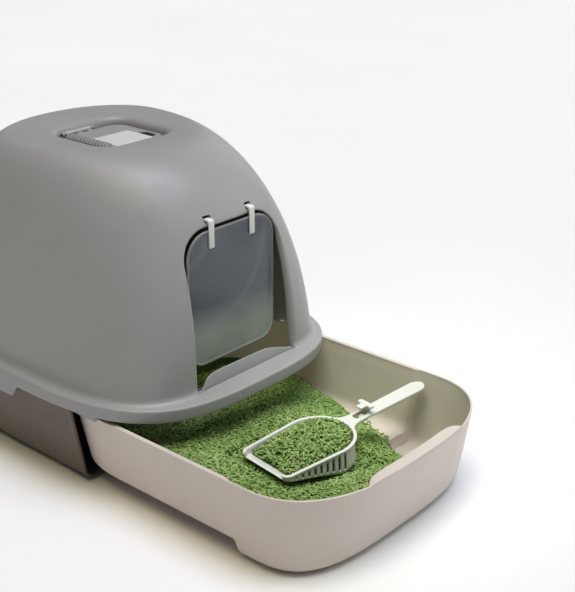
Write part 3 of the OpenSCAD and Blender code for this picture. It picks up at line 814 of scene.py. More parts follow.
def build_base():
    N = 150
    S = Shell()

    def outline(t):
        """half outline from x = hw at the front edge to the back centre"""
        h = half_curve(203.7 - t, 0 + t, 247.5, 3.0, 247.5, 488.7 - t, 4.6)
        h = h[h[:, 1] >= 247.5]
        hw = 203.7 - t
        return np.vstack([[(hw, 151.0)], [(hw, 200.0)], h])

    fr = np.linspace(0, 1, N + 1) ** 1.0

    def ring(t, z):
        h = resample(outline(t), fr)
        l = h[:-1][::-1].copy()
        l[:, 0] *= -1
        r = np.vstack([h, l])
        return np.column_stack([r, np.full(len(r), z)])

    def inset(z):
        return (131.2 - z) * 0.172

    rows = []
    R = 16.0
    for k in np.linspace(0, 1, 10):          # rounded lower edge, from the sole outward
        a = math.radians(90 * k)
        z = 1.2 + R - R * math.cos(a)
        rows.append(ring(inset(z) + R - R * math.sin(a), z))
    for z in np.linspace(1.2 + R, 126, 9)[1:]:
        rows.append(ring(inset(z), z))
    rows.append(ring(inset(130), 130.2))
    rows.append(ring(inset(130) + .7, 131.0))
    rows.append(ring(inset(130) + 1.5, 131.2))
    rows.append(ring(inset(130) + 2.3, 131.0))
    rows.append(ring(inset(130) + 3.0, 130.2))
    for z in np.linspace(126, 4.2 + 13, 9):
        rows.append(ring(inset(z) + 3.0, z))
    for k in np.linspace(1, 0, 9)[1:]:
        a = math.radians(90 * k)
        z = 4.2 + 13 - 13 * math.cos(a)
        rows.append(ring(inset(z) + 3.0 + 13 - 13 * math.sin(a), z))
    rows = np.array(rows)
    S.grid(rows)
    S.ngon(rows[0])
    S.ngon(rows[-1], flip=True)
    # the cut edge of the open front
    S.ngon(np.vstack([rows[:, 0], rows[::-1, -1]]))
    o = S.build("base", M["base"], "base", ("base_tray",), angle=32)
    return o


base = build_base()


def build_base_trim():
    """rounded band that stiffens the base's front edges, and the runners inside"""
    S = Shell()
    for s in (-1, 1):
        path = []
        for z in np.linspace(128.5, 20, 22):
            path.append((203.7 - (131.2 - z) * 0.172 - 1.5, z))
        for k in np.linspace(0, 1, 10)[1:]:
            a = math.radians(90 * k)
            z = 17.7 - 13.5 * math.sin(a) - 1.0
            path.append((203.7 - (131.2 - z) * 0.172 - 1.5 - 14.5 * (1 - math.cos(a)), z))
        path += [(x, path[-1][1]) for x in np.linspace(path[-1][0] - 6, 60, 6)]
        P = np.array(path)
        rings = []
        for i, (x, z) in enumerate(P):
            a, b = P[max(i - 1, 0)], P[min(i + 1, len(P) - 1)]
            t = (b - a) / np.linalg.norm(b - a)
            n = np.array([-t[1], t[0]])
            sec = []
            for k in range(12):
                u = 2 * math.pi * k / 12
                rx, ry = 2.3 * np.sign(math.cos(u)) * abs(math.cos(u)) ** 0.6, 3.4 * np.sign(math.sin(u)) * abs(math.sin(u)) ** 0.6
                sec.append((s * (x + n[0] * rx), 153.6 + ry, z + n[1] * rx))
            rings.append(sec)
        G = np.array(rings)
        S.grid(G, closed=True)
        S.ngon(G[0])
        S.ngon(G[-1], flip=True)
    for x in (-112, 0, 112):
        pts = [(x - 4, 3.9), (x - 4, 14.9), (x - 3, 15.9), (x + 3, 15.9), (x + 4, 14.9), (x + 4, 3.9)]
        G = np.array([[(a, y, z) for a, z in pts] for y in (157.2, 158, 300, 426, 427)])
        G[0, 1:5, 2] -= 1.0
        G[-1, 1:5, 2] -= 1.0
        S.grid(G, closed=True)
        S.ngon(G[0])
        S.ngon(G[-1], flip=True)
    return S.build("base_trim", M["base"], "base", (), angle=40)


build_base_trim()


# ------------------------------------------------------------------ drawer

RIM = 111.5


def drawer_half(z, d):
    k = z / RIM
    return half_curve(190.4 - (RIM - z) * 0.1422 - d, -249.6 + 26.6 * (1 - k) + d, -121.5 - 8 * k, 3.4 - 0.8 * k,
                      80 + 20 * k, 190 + 15 * k - d, 3.6)


def build_drawer():
    N = 230
    fr = np.linspace(0, 1, N + 1)
    S = Shell()

    def ring(z, d):
        """z and d may change from column to column; the outline is interpolated at each column's own height"""
        z = np.broadcast_to(np.asarray(z, float), (2 * N,))
        d = np.broadcast_to(np.asarray(d, float), (2 * N,))
        lev = np.unique(np.round(z, 3))
        if len(lev) > 12:
            lev = np.linspace(z.min(), z.max(), 12)
        A = np.array([ring_of(drawer_half(l, 0), fr) for l in lev])
        B = np.array([ring_of(drawer_half(l, 1.0), fr) for l in lev])
        out = np.zeros((2 * N, 2))
        for i in range(2 * N):
            p = [np.interp(z[i], lev, A[:, i, k]) for k in (0, 1)]
            q = [np.interp(z[i], lev, B[:, i, k]) for k in (0, 1)]
            out[i] = [p[k] + (q[k] - p[k]) * d[i] for k in (0, 1)]
        return np.column_stack([out, z])

    r0 = ring_of(drawer_half(RIM, 0), fr)
    # the front part reaches the ground, the rear rides higher
    yref = r0[:, 1]
    zb = 16.2 * smooth01((yref + 120.5) / 8.0)
    thick = 3.0 + 3.3 * smooth01((yref + 112.5) / 5.0)
    floor = 4.0 + 15.4 * smooth01((yref + 118.0) / 6.0)
    # grip lip
    x = r0[:, 0]
    lip = np.where(yref < -150, np.maximum(0, 1 - (np.abs(x) / 92.0) ** 6.0) ** 0.5, 0.0)
    R = 18.0
    rows = []
    for k in np.linspace(0, 1, 12):
        a = math.radians(90 * k)
        h = R - R * math.cos(a)
        rows.append(ring(zb + h, R - R * math.sin(a)))
    for k in np.linspace(0, 1, 13)[1:]:
        z = (zb + R) * (1 - k) + (RIM - 2.0) * k
        rows.append(ring(z, 0))
    up = 4.5 * lip
    half = thick / 2
    rows.append(ring(RIM - 1.2, 0) + np.array([0, 0, 0]))

    def raised(d, z):
        g = ring(RIM, d)
        g[:, 2] = z
        return g

    rim_r = np.minimum(half, 1.4)
    wide = thick + 13.5 * lip
    rows.append(raised(0.0, RIM - 1.0 + up * 0.75))
    rows.append(raised(rim_r * 0.25, RIM - 0.40 + up))
    rows.append(raised(rim_r * 0.62, RIM - 0.10 + up))
    rows.append(raised(rim_r, RIM + up))
    for k in (0.2, 0.4, 0.6, 0.8):
        rows.append(raised(rim_r * (1 - k) + (wide - rim_r) * k, RIM + up - 0.5 * lip * k))
    rows.append(raised(wide - rim_r, RIM + up - 0.5 * lip))
    rows.append(raised(wide - rim_r * 0.6, RIM - 0.12 + up - 0.5 * lip))
    rows.append(raised(wide - rim_r * 0.25, RIM - 0.45 + up - 0.5 * lip))
    rows.append(raised(wide, RIM - 1.1 + up - 0.5 * lip))
    rows.append(raised(wide, RIM - 1.4 + (up - 1.6) * lip))
    rows.append(raised(wide - 0.6 * lip, RIM - 1.9 + (up - 1.8) * lip))
    rows.append(raised(thick + 3.0 * lip, RIM - 2.6 + (up - 2.6) * lip))
    rows.append(raised(thick + 0.8 * lip, RIM - 3.2 + (up - 3.4) * lip))
    rows.append(raised(thick, RIM - 4.2 + (up - 4.5) * lip))
    r2 = 15.0
    for k in np.linspace(0, 1, 12)[1:]:
        z = (RIM - 5.0) * (1 - k) + (floor + r2) * k
        rows.append(ring(z, thick))
    for k in np.linspace(1, 0, 9)[1:]:
        a = math.radians(90 * k)
        rows.append(ring(floor + r2 - r2 * math.cos(a), thick + r2 - r2 * math.sin(a)))
    G = np.array(rows)
    S.grid(G, closed=True)
    S.ladder(G[0], steps=30, flip=False)
    S.ladder(G[-1], steps=30, flip=True)
    return S.build("drawer", M["drawer"], "drawer", ("drawer_tray",), angle=40)


drawer = build_drawer()


# ------------------------------------------------------------------ litter

def toe(x, y):
    """distance in from the foot of the heap; past it the drawer's floor is bare"""
    return (164 - x) * 0.94 + (y + 38) * 0.342 + 2.5 * np.sin(y * 0.11) + 1.5 * np.sin(y * 0.27 + 1.0)


def floor_at(y):
    """top of the drawer's floor, which steps up behind the front part"""
    return 4.0 + 15.4 * smooth01((y + 105.0) / 6.0)


def past(x, y):
    return smooth01((33 - toe(x, y)) / 30)


def rise(x, y):
    d = np.maximum(0, (164 - x) * 0.94 + (y + 38) * 0.342)
    h = 22 + 60 * (1 - np.exp(-d / 105)) + 2.2 * np.sin(np.radians(2.3 * x + 40)) * np.cos(np.radians(2.9 * y)) * np.minimum(1, d / 60)
    k = past(x, y)
    return h * (1 - k) + (floor_at(y) - 0.7) * k


TIP = np.array([-98.0, -84.0, 82.0])
TURN, TILT = math.radians(-8), math.radians(4)
BL, BR, BD = 88.0, 47.0, 38.0


def scoop_uv(x, y):
    px, py = x - TIP[0], y - TIP[1]
    return px * math.cos(TURN) + py * math.sin(TURN), -px * math.sin(TURN) + py * math.cos(TURN)


def scoop_rot(P):
    """from the scoop's own axes to the drawer's"""
    P = np.asarray(P, float)
    x = P[..., 0] * math.cos(TILT) - P[..., 2] * math.sin(TILT)
    z = P[..., 0] * math.sin(TILT) + P[..., 2] * math.cos(TILT)
    y = P[..., 1]
    return np.stack([TIP[0] + x * math.cos(TURN) - y * math.sin(TURN), TIP[1] + x * math.sin(TURN) + y * math.cos(TURN), TIP[2] + z], -1)


def litter_top(x, y):
    """surface of the litter, with the trough that the scoop's blade has pressed into it"""
    h = rise(x, y)
    u, v = scoop_uv(x, y)
    f = np.clip(u * 0.33, 0, 30)
    low = TIP[2] - 14 - f + u * math.sin(TILT)
    e = np.maximum(np.maximum(-8 - u, u - 146), np.abs(v) - (BR + 10)) / 9.0
    k = smooth01(e)
    return np.where(e > 1, h, np.minimum(h, low + (h - low) * k + 40 * k * 0))


def inside_drawer(x, y, z, off):
    """room to the drawer's wall; positive is inside"""
    k = z / RIM
    t = np.where(y < -112, 3.0, 6.3)
    hw = 190.4 - (RIM - z) * 0.1422 - off - t
    ycf, ycb = -121.5 - 8 * k, 80 + 20 * k
    yf, yb = -249.6 + 26.6 * (1 - k) + off + t, 190 + 15 * k - off - t
    nf = 3.4 - 0.8 * k
    ax = np.abs(x) / hw
    fr = 1 - (ax ** nf + (np.maximum(0, ycf - y) / (ycf - yf)) ** nf)
    bk = 1 - (ax ** 3.6 + (np.maximum(0, y - ycb) / (yb - ycb)) ** 3.6)
    return np.minimum(fr, bk)


def build_bed():
    N = 150
    fr = np.linspace(0, 1, N + 1)
    S = Shell()
    rows = []
    ks = np.r_[np.linspace(1, 0.02, 90)]
    o = ring_of(drawer_half(60, 7.0), fr)
    for k in ks:
        x = o[:, 0] * k
        y = -30 + (o[:, 1] + 30) * k
        z = litter_top(x, y)
        pk = past(x, y)
        drop = pk * (1 - smooth01((y + 105.0) / 6.0))
        z = z - (2.0 + 2.6 * (1 - smooth01((z - 23.0) / 4.0))) * (1 - pk)
        zc = np.clip(z, 12, 110)
        # keep to the drawer's wall at this height
        sc = 1 - ((60 - zc) * 0.1422 / 183 + 0.04 * drop) * k
        x = x * sc
        y = -30 + (y + 30) * (1 - 0.09 * drop * k)
        # the body ends at the foot of the heap
        back = np.maximum(0, 4.0 - toe(x, y)) * 0.96
        x = x - 0.94 * back
        y = y + 0.342 * back
        z = litter_top(x, y)
        z = z - (2.0 + 2.6 * (1 - smooth01((z - 23.0) / 4.0))) * (1 - past(x, y))
        rows.append(np.column_stack([x, y, z]))
    G = np.array(rows)
    j = np.array([0.7 * math.sin(i * 12.9898) for i in range(G.shape[1])])
    S.grid(G, closed=True)
    S.ngon(G[-1])
    low = G[::3].copy()
    low[:, :, 0] *= 0.96
    low[:, :, 1] = -30 + (low[:, :, 1] + 30) * 0.96
    low[:, :, 2] = np.minimum(21.5, low[:, :, 2] - 0.4)
    S.grid(np.array([G[0], low[0]]), closed=True, flip=True)
    S.grid(low, closed=True, flip=True)
    S.ngon(low[-1], flip=True)
    return S.build("litter_body", M["bed"], "drawer", ("litter_bed",), angle=None)


build_bed()


def pellet_shapes(kinds=14, seg=5):
    """short pressed sticks with broken ends"""
    out = []
    r = np.random.default_rng(21)
    for _ in range(kinds):
        L = r.uniform(4.6, 9.8)
        R = r.uniform(1.02, 1.28)
        bend = r.uniform(-0.35, 0.35)
        xs = [-L / 2, -L / 2 + .28, L * r.uniform(-.1, .1), L / 2 - .28, L / 2]
        rs = [R * .74, R, R * r.uniform(.94, 1.05), R, R * .74]
        V, F = [], []
        for i, (x, q) in enumerate(zip(xs, rs)):
            for k in range(seg):
                a = 2 * math.pi * k / seg
                jx = r.uniform(-.25, .25) if i in (0, 4) else 0
                w = q * r.uniform(.92, 1.08)
                V.append((x + jx, w * math.cos(a) + bend * math.sin(math.pi * (x / L + .5)), w * math.sin(a)))
        n = len(xs)
        for i in range(n - 1):
            for k in range(seg):
                F.append((i * seg + k, (i + 1) * seg + k, (i + 1) * seg + (k + 1) % seg, i * seg + (k + 1) % seg))
        F.append(tuple(range(seg)))
        F.append(tuple(range(n * seg - 1, (n - 1) * seg - 1, -1)))
        out.append((np.array(V), F, L, R))
    return out


PELLETS = pellet_shapes()


def rot_about(axis, ang):
    x, y, z = axis
    c, s_ = math.cos(ang), math.sin(ang)
    return np.array([[c + x * x * (1 - c), x * y * (1 - c) - z * s_, x * z * (1 - c) + y * s_],
                     [y * x * (1 - c) + z * s_, c + y * y * (1 - c), y * z * (1 - c) - x * s_],
                     [z * x * (1 - c) - y * s_, z * y * (1 - c) + x * s_, c + z * z * (1 - c)]])


def scatter(name, places, body, mat):
    """places: (centre, yaw, pitch, roll, kind, size, tone) in drawer millimetres; one mesh for them all"""
    VV, FF, tones = [], [], []
    o = 0
    for c, yaw, pitch, roll, kind, size, tone in places:
        V, F, L, R = PELLETS[kind]
        cy, sy, cp, sp, cr, sr = math.cos(yaw), math.sin(yaw), math.cos(pitch), math.sin(pitch), math.cos(roll), math.sin(roll)
        Rm = np.array([[cy * cp, cy * sp * sr - sy * cr, cy * sp * cr + sy * sr],
                       [sy * cp, sy * sp * sr + cy * cr, sy * sp * cr - cy * sr],
                       [-sp, cp * sr, cp * cr]])
        VV.append((V * size) @ Rm.T + np.asarray(c))
        FF.extend([[i + o for i in f] for f in F])
        tones.append(np.full(len(V), tone))
        o += len(V)
    V = np.vstack(VV)
    V[:, 1] += YO
    me = bpy.data.meshes.new(name)
    me.from_pydata((V * MM).tolist(), [], FF)
    at = me.attributes.new("tone", "FLOAT", "POINT")
    at.data.foreach_set("value", np.concatenate(tones).astype(np.float32))
    return finish_mesh(name, me, mat, body, (), angle=50)


def spread_litter():
    """centres, turns and kinds of the pellets: jittered lattices in layers that bury one another"""
    r = np.random.default_rng(5)
    places = []
    for layer, (step, dz, keep) in enumerate(((4.3, -1.5, 1.0), (4.6, 0.1, 0.97), (6.2, 1.3, 0.75))):
        gx_, gy_ = np.meshgrid(np.arange(-190, 190, step), np.arange(-252, 160, step))
        sh = (np.arange(gx_.shape[0]) % 2)[:, None] * step / 2
        n = gx_.size
        x = (gx_ + sh).ravel() + r.uniform(-.45, .45, n) * step
        y = gy_.ravel() + r.uniform(-.45, .45, n) * step
        yaw, pit, rol = r.uniform(0, math.pi, n), r.normal(0, .24, n), r.uniform(0, 6.28, n)
        kind, size, tone, u = r.integers(len(PELLETS), size=n), r.uniform(.88, 1.12, n), r.beta(2.2, 2.4, n), r.uniform(size=n)
        u2, jz = r.uniform(size=n), r.uniform(-.5, .5, n)
        z = litter_top(x, y)
        e = 4.0
        gx = np.clip((litter_top(x + e, y) - litter_top(x - e, y)) / (2 * e), -.9, .9)
        gy = np.clip((litter_top(x, y + e) - litter_top(x, y - e)) / (2 * e), -.9, .9)
        sl = -np.arctan(gx * np.cos(yaw) + gy * np.sin(yaw))
        te = toe(x, y)
        front = y < -112
        ins = inside_drawer(x, y, np.maximum(z, 12.0), 4.4 + 3.5 * past(x, y) * front)
        su, sv = scoop_uv(x, y)
        under = (su > -6) & (su < 145) & (np.abs(sv) < BR + 4)
        ok = (u <= keep) & (ins > 0.003)
        ok &= ~(under & (layer > 0))
        thin = te < 14
        ok &= ~(thin & ((layer > 1) | (u2 > 1.0 * np.clip((te - 1.0) / 9.0, 0, 1) + 0.012)))
        dd = np.where(under, -1.2, dz)
        fl = floor_at(y) + 1.2
        zz = np.maximum(z + np.where(thin, np.minimum(dd, 0.3), dd) + jz, fl)
        # big soft drifts of lighter and darker litter
        drift = 0.5 + 0.5 * np.sin(x * .031 + 1.2 * np.sin(y * .017)) * np.cos(y * .027 + .8)
        tone = np.clip(tone * .82 + .18 * drift, 0, 1)
        for i in np.nonzero(ok)[0]:
            places.append(((x[i], y[i], zz[i]), yaw[i], (pit[i] if not thin[i] else 0.0) + sl[i], rol[i], int(kind[i]), size[i], tone[i]))
    return places


PL = spread_litter()
print("pellets in the drawer", len(PL), file=sys.stderr)
scatter("litter_pellets", PL, "drawer", M["pellet"])


def scoop_load():
    places = []
    r = np.random.default_rng(9)
    for layer in range(4):
        for _ in range(620):
            u, v = r.uniform(15, 130), r.uniform(-43, 43)
            if u > BL - 2 and (u - BL) ** 2 + v ** 2 > (BR - 6) ** 2:
                continue
            if abs(v) > BR - 7.5 - max(0, (BL - u)) * 0.057:
                continue
            rise_ = min(1.0, (u - 10) / 30) * (1 - 0.25 * max(0, (u - 95) / 35))
            top = -7.0 + 12.5 * rise_ * (1 - (abs(v) / 50) ** 2.4) - layer * 2.3 + r.uniform(-.9, .9)
            c = scoop_rot(np.array([u, v, top]))
            places.append((c, r.uniform(0, 3.14), r.normal(0, .33), r.uniform(0, 6.28), int(r.integers(len(PELLETS))), r.uniform(.88, 1.05), r.beta(2.4, 2.2)))
    return places


scatter("scoop_pellets", scoop_load(), "scoop", M["pellet"])
for n in ("scooped_litter",):
    ob = bpy.data.objects.get(n)
    if ob:
        ob.data.materials.clear()
        ob.data.materials.append(M["bed"])


# ------------------------------------------------------------------ scoop

def solid_obj(name, V, F, xf=None):
    """closed mesh object in metres from points in millimetres"""
    V = np.asarray(V, float)
    if xf is not None:
        V = xf(V)
    V = V.copy()
    V[:, 1] += YO
    me = bpy.data.meshes.new(name)
    me.from_pydata((V * MM).tolist(), [], F)
    bm = bmesh.new()
    bm.from_mesh(me)
    bmesh.ops.remove_doubles(bm, verts=bm.verts, dist=2e-6)
    bmesh.ops.dissolve_degenerate(bm, dist=1e-7, edges=bm.edges)
    bmesh.ops.recalc_face_normals(bm, faces=bm.faces)
    bm.to_mesh(me)
    bm.free()
    o = bpy.data.objects.new(name, me)
    bpy.context.scene.collection.objects.link(o)
    return o


def stack(rings, closed=True, caps=(None, None)):
    """vertices and faces of a tube through rings; caps are n-gons unless given as ladders"""
    S = Shell()
    G = np.asarray(rings, float)
    S.grid(G, closed=closed)
    for k, (r, fl) in enumerate(((G[0], True), (G[-1], False))):
        if caps[k] == "blade":
            # straight tip as one face, the sloping sole behind it in strips
            n = len(r) // 2
            m = next(i for i in range(n) if abs(r[i, 0] - r[0, 0]) > 1.0)
            S.ngon([r[i % (2 * n)] for i in range(-m, m + 1)], flip=fl)
            S.grid(np.array([[r[i], r[(2 * n - i) % (2 * n)]] for i in range(m, n + 1)]), flip=fl)
        else:
            S.ngon(r, flip=fl)
    return S.v, S.f


def prism(pts, h0, h1, axis, xf=None, name="cutter"):
    put = {"x": lambda a, b, h: (h, a, b), "y": lambda a, b, h: (a, h, b), "z": lambda a, b, h: (a, b, h)}[axis]
    n = len(pts)
    V = [put(a, b, h0) for a, b in pts] + [put(a, b, h1) for a, b in pts]
    F = [tuple(range(n)), tuple(range(2 * n - 1, n - 1, -1))] + [(i, n + i, n + (i + 1) % n, (i + 1) % n) for i in range(n)]
    return solid_obj(name, V, F, xf)


def rrect(x0, x1, y0, y1, r, k=8):
    pts = []
    for cx, cy, st in ((x1 - r, y1 - r, 0), (x0 + r, y1 - r, 90), (x0 + r, y0 + r, 180), (x1 - r, y0 + r, 270)):
        for i in range(k + 1):
            t = math.radians(st + 90 * i / k)
            pts.append((cx + r * math.cos(t), cy + r * math.sin(t)))
    return pts


def pillow(x0, x1, y0, y1, z0, z1, r, e, xf=None, name="block", k=8, domed=0.0, foot=None):
    """block with corners of radius r in plan and edges rounded by e above and foot below"""
    foot = e if foot is None else foot
    rows = []
    for i in range(5):
        a = math.radians(90 * i / 4)
        o = foot * (1 - math.sin(a))
        rows.append([(x, y, z0 + foot * (1 - math.cos(a))) for x, y in rrect(x0 + o, x1 - o, y0 + o, y1 - o, max(r - o, 0.05), k)])
    for i in range(6):
        a = math.radians(90 * i / 5)
        o = e * (1 - math.cos(a))
        rows.append([(x, y, z1 - e * (1 - math.sin(a)) - domed) for x, y in rrect(x0 + o, x1 - o, y0 + o, y1 - o, max(r - o, 0.05), k)])
    if domed:
        for q in (2, 4, 7, 11):
            if min(x1 - x0, y1 - y0) / 2 - e - q < 2:
                break
            o = e + q
            rows.append([(x, y, z1 - domed * (1 - min(1, q / 11)) ** 2) for x, y in rrect(x0 + o, x1 - o, y0 + o, y1 - o, max(r - o, 0.05), k)])
    V, F = stack(rows)
    return solid_obj(name, V, F, xf)


def boolean(o, others, op):
    if not isinstance(others, (list, tuple)):
        others = [others]
    coll = bpy.data.collections.new("operands")
    bpy.context.scene.collection.children.link(coll)
    for k in others:
        for c in list(k.users_collection):
            c.objects.unlink(k)
        coll.objects.link(k)
    m = o.modifiers.new("op", "BOOLEAN")
    m.operation = op
    m.operand_type = "COLLECTION"
    m.collection = coll
    m.solver = "MANIFOLD"
    apply_mods(o)
    for k in others:
        me = k.data
        bpy.data.objects.remove(k)
        bpy.data.meshes.remove(me)
    bpy.data.collections.remove(coll)
    return o


def adopt(o, name, mat, body, replaces=(), angle=40.0):
    """turns a finished solid into a piece"""
    me = o.data
    for c in list(o.users_collection):
        c.objects.unlink(o)
    bpy.data.objects.remove(o)
    me.name = name
    me.materials.clear()
    return finish_mesh(name, me, mat, body, replaces, angle)


def build_scoop():
    """shovel with a rolled rim, slotted sides, flared neck and a windowed handle"""
    hw, rc = BR - 5, 9.0
    side = math.atan2(5.0, BL)
    # half outline of the blade, from the middle of its tip round to the back
    p = [(0.0, 0.0), (0.0, hw - rc * 0.95)]
    for t in np.linspace(0, 90 - math.degrees(side), 14):
        a = math.radians(t)
        p.append((rc - rc * math.cos(a), hw - rc * 0.95 + rc * math.sin(a)))
    a = math.radians(90 - math.degrees(side))
    p.append((BL, BR))
    p += [(BL + BR * math.sin(math.radians(t)), BR * math.cos(math.radians(t))) for t in np.linspace(0, 90, 50)[1:]]
    N = 130
    fr = np.linspace(0, 1, N + 1)
    h = resample(np.array(p), fr)
    l = h[1:-1][::-1].copy()
    l[:, 1] *= -1
    path = np.vstack([h, l])
    tg = np.roll(path, -1, 0) - np.roll(path, 1, 0)
    tg /= np.linalg.norm(tg, axis=1)[:, None]
    nrm = np.column_stack([-tg[:, 1], tg[:, 0]])

    def dep(x):
        d = np.where(x < BL, -9.0 - (BD - 9) * np.clip(x, 0, BL) / BL, -BD)
        return np.where(x > BL + BR - 16, -BD + 10 * np.clip((x - (BL + BR - 16)) / 16, 0, 1) ** 2, d)

    d0 = dep(path[:, 0])
    q = np.clip(-d0 / 26, 0.34, 1)          # the lower edge is rounder where the bowl is deep

    def row(o, z):
        return np.column_stack([path + nrm * np.broadcast_to(np.asarray(o, float), (len(path),))[:, None], np.broadcast_to(z, (len(path),))])

    rb = 9.0
    out = []
    for k in np.linspace(0, 1, 8):
        a = math.radians(90 * k)
        out.append(row(-rb * q * (1 - math.sin(a)), d0 + rb * q * (1 - math.cos(a))))
    for k in np.linspace(0, 1, 7)[1:]:
        out.append(row(0, (d0 + rb * q) * (1 - k) + (-3.5) * k))
    for o, z in ((.35, -3.1), (1.1, -2.9), (1.9, -2.5), (2.35, -1.8), (2.4, -1.1), (2.1, -.5), (1.5, -.12), (.7, 0)):
        out.append(row(o, z))
    V, F = stack(out, caps=("blade", None))
    bowl = solid_obj("bowl", V, F, scoop_rot)
    ri = rb - 2
    inn = []
    for k in np.linspace(0, 1, 8):
        a = math.radians(90 * k)
        inn.append(row(-2.2 - ri * q * (1 - math.sin(a)), d0 + 2.2 + ri * q * (1 - math.cos(a))))
    for k in (0.3, 0.6, 1.0):
        inn.append(row(-2.2, (d0 + 2.2 + ri * q) * (1 - k) - 1.2 * k))
    inn.append(row(-1.9, -.5))
    inn.append(row(-1.2, -.05))
    inn.append(row(-1.0, 3.0))
    V, F = stack(inn, caps=("blade", None))
    hollow = solid_obj("hollow", V, F, scoop_rot)
    cuts = [hollow, prism(rrect(-hw + 7, hw - 7, -6.4, 8, 2.2), -5, 5, "x", scoop_rot)]
    for i in range(9):
        x = 14 + i * 9.4
        d = 8 + x * 0.26
        z0 = -d + 0.5
        cuts.append(prism(rrect(x, x + 4.4, z0, z0 + max(2.0, d - 6), min(2.0, max(2.0, d - 6) / 2 - .1), 5), -60, 60, "y", scoop_rot))
    for a in (-50, -25, 0, 25, 50):
        t = math.radians(a)

        def xf(P, t=t):
            P = np.asarray(P, float)
            R = np.stack([BL + P[..., 0] * math.cos(t) - P[..., 1] * math.sin(t), P[..., 0] * math.sin(t) + P[..., 1] * math.cos(t), P[..., 2]], -1)
            return scoop_rot(R)
        cuts.append(prism(rrect(-2.2, 2.2, -BD + 12, -6.0, 2.0, 5), BR - 10, BR + 4, "x", xf))
    boolean(bowl, cuts, "DIFFERENCE")

    # handle: a bar with rolled edges, broad where it meets the blade
    x0, x1 = BL + BR - 2.6, 277.0
    xs = np.r_[np.linspace(x0, x0 + 26, 14), np.linspace(x0 + 26, x1 - 14, 20)[1:], x1 - 14 + 14 * np.sin(np.radians(np.linspace(0, 90, 12)))[1:]]
    kx = [x0, x0 + 4, x0 + 9, x0 + 15, x0 + 22, x0 + 34, x0 + 60, x1 - 14]
    kw = [22.0, 16.5, 13.2, 11.4, 10.6, 10.5, 11.0, 11.8]
    rows = []
    for x in xs:
        w = float(np.interp(x, kx, kw))
        if x > x1 - 14:
            w = 11.8 * math.sqrt(max(0.0, 1 - ((x - (x1 - 14)) / 14.15) ** 2)) + 0.15
        th = 3.0
        sec = []
        for k in range(40):
            a = 2 * math.pi * k / 40
            cy, cz = math.cos(a), math.sin(a)
            sy = w * np.sign(cy) * abs(cy) ** 0.45
            sz = th * np.sign(cz) * abs(cz) ** 0.6
            if cz > 0:
                sz -= 0.9 * (1 - min(1, abs(sy) / max(w - 1.5, 1)) ** 3) * smooth01((x - x0 - 8) / 14) * min(1, w / 8)
            sec.append((x, sy, -3.0 + sz))
        rows.append(sec)
    V, F = stack(rows)
    handle = solid_obj("handle", V, F, scoop_rot)
    win = prism(rrect(BL + BR + 16, BL + BR + 36, -5.5, 5.5, 3.0, 6), -9, 3, "z", scoop_rot)
    boolean(handle, [win], "DIFFERENCE")
    hx = BL + BR
    post = pillow(hx + 37, hx + 42, -5, 5, -2.0, 9.6, 1.6, 0.5, scoop_rot)
    bar = pillow(hx + 24, hx + 42, -5, 5, 8.3, 11.5, 2.4, 1.0, scoop_rot)
    tee = pillow(hx + 34, hx + 42, -13, 13, 8.3, 11.5, 3.4, 1.1, scoop_rot)
    boolean(bowl, [handle, post, bar, tee], "UNION")
    return adopt(bowl, "scoop", M["scoop"], "scoop", ("litter_scoop",), 38)


build_scoop()


# ------------------------------------------------------------------ flap

HY, HZ = 61.9785, 337.6
HR = 5.1
FY0, FY1 = HY - HR + 0.3, HY - HR + 2.3
FTOP, FBOT, FHW = 331.5, 152.0, 79.0


def flap_loop(o, k=14):
    rt, rb = 34.0 - o, 26.0 - o
    x, t, b = FHW - o, FTOP - o, FBOT + o
    pts = []
    for cx, cz, st, r in ((x - rt, t - rt, 0, rt), (-x + rt, t - rt, 90, rt), (-x + rb, b + rb, 180, rb), (x - rb, b + rb, 270, rb)):
        for i in range(k + 1):
            a = math.radians(st + 90 * i / k)
            pts.append((cx + r * math.cos(a), cz + r * math.sin(a)))
    return pts


def build_flap():
    rows = []
    # thin web framed by a bead
    prof = [(6.0, FY0 + .15), (4.6, FY0 + .15), (3.9, FY0 + .02), (3.2, FY0 - .38), (2.4, FY0 - .6), (1.4, FY0 - .58), (.6, FY0 - .3),
            (.15, FY0 + .2), (0, FY0 + .8), (0, FY1 - .6), (.15, FY1 - .15), (.6, FY1 + .2), (1.4, FY1 + .4), (2.4, FY1 + .4), (3.2, FY1 + .2),
            (3.9, FY1 - .1), (4.6, FY1 - .2), (6.0, FY1 - .2)]
    for o, y in prof:
        rows.append([(x, y, z) for x, z in flap_loop(o)])
    V, F = stack(rows)
    o = solid_obj("flap", V, F)
    holes = [prism([(s * 36.7 + 1.5 * math.cos(a), z + 1.5 * math.sin(a)) for a in np.linspace(0, 2 * math.pi, 25)[:-1]], 50, 65, "y")
             for s in (-1, 1) for z in (324.5, 312.5)]
    boolean(o, holes, "DIFFERENCE")
    o = adopt(o, "flap", M["flap"], "flap", ("flap_panel",), 38)
    o.data.materials.append(M["bead"])
    for f in o.data.polygons:
        x, z = abs(f.center.x) / MM, f.center.z / MM
        r = 34.0 if z > 240 else 26.0
        dx, dz = x - (FHW - r), (z - (FTOP - r)) if z > 240 else ((FBOT + r) - z)
        d = r - math.hypot(max(dx, 0), max(dz, 0)) if dx > 0 and dz > 0 else min(FHW - x, FTOP - z if z > 240 else z - FBOT)
        if d < 2.6:
            f.material_index = 1
    return o


build_flap()


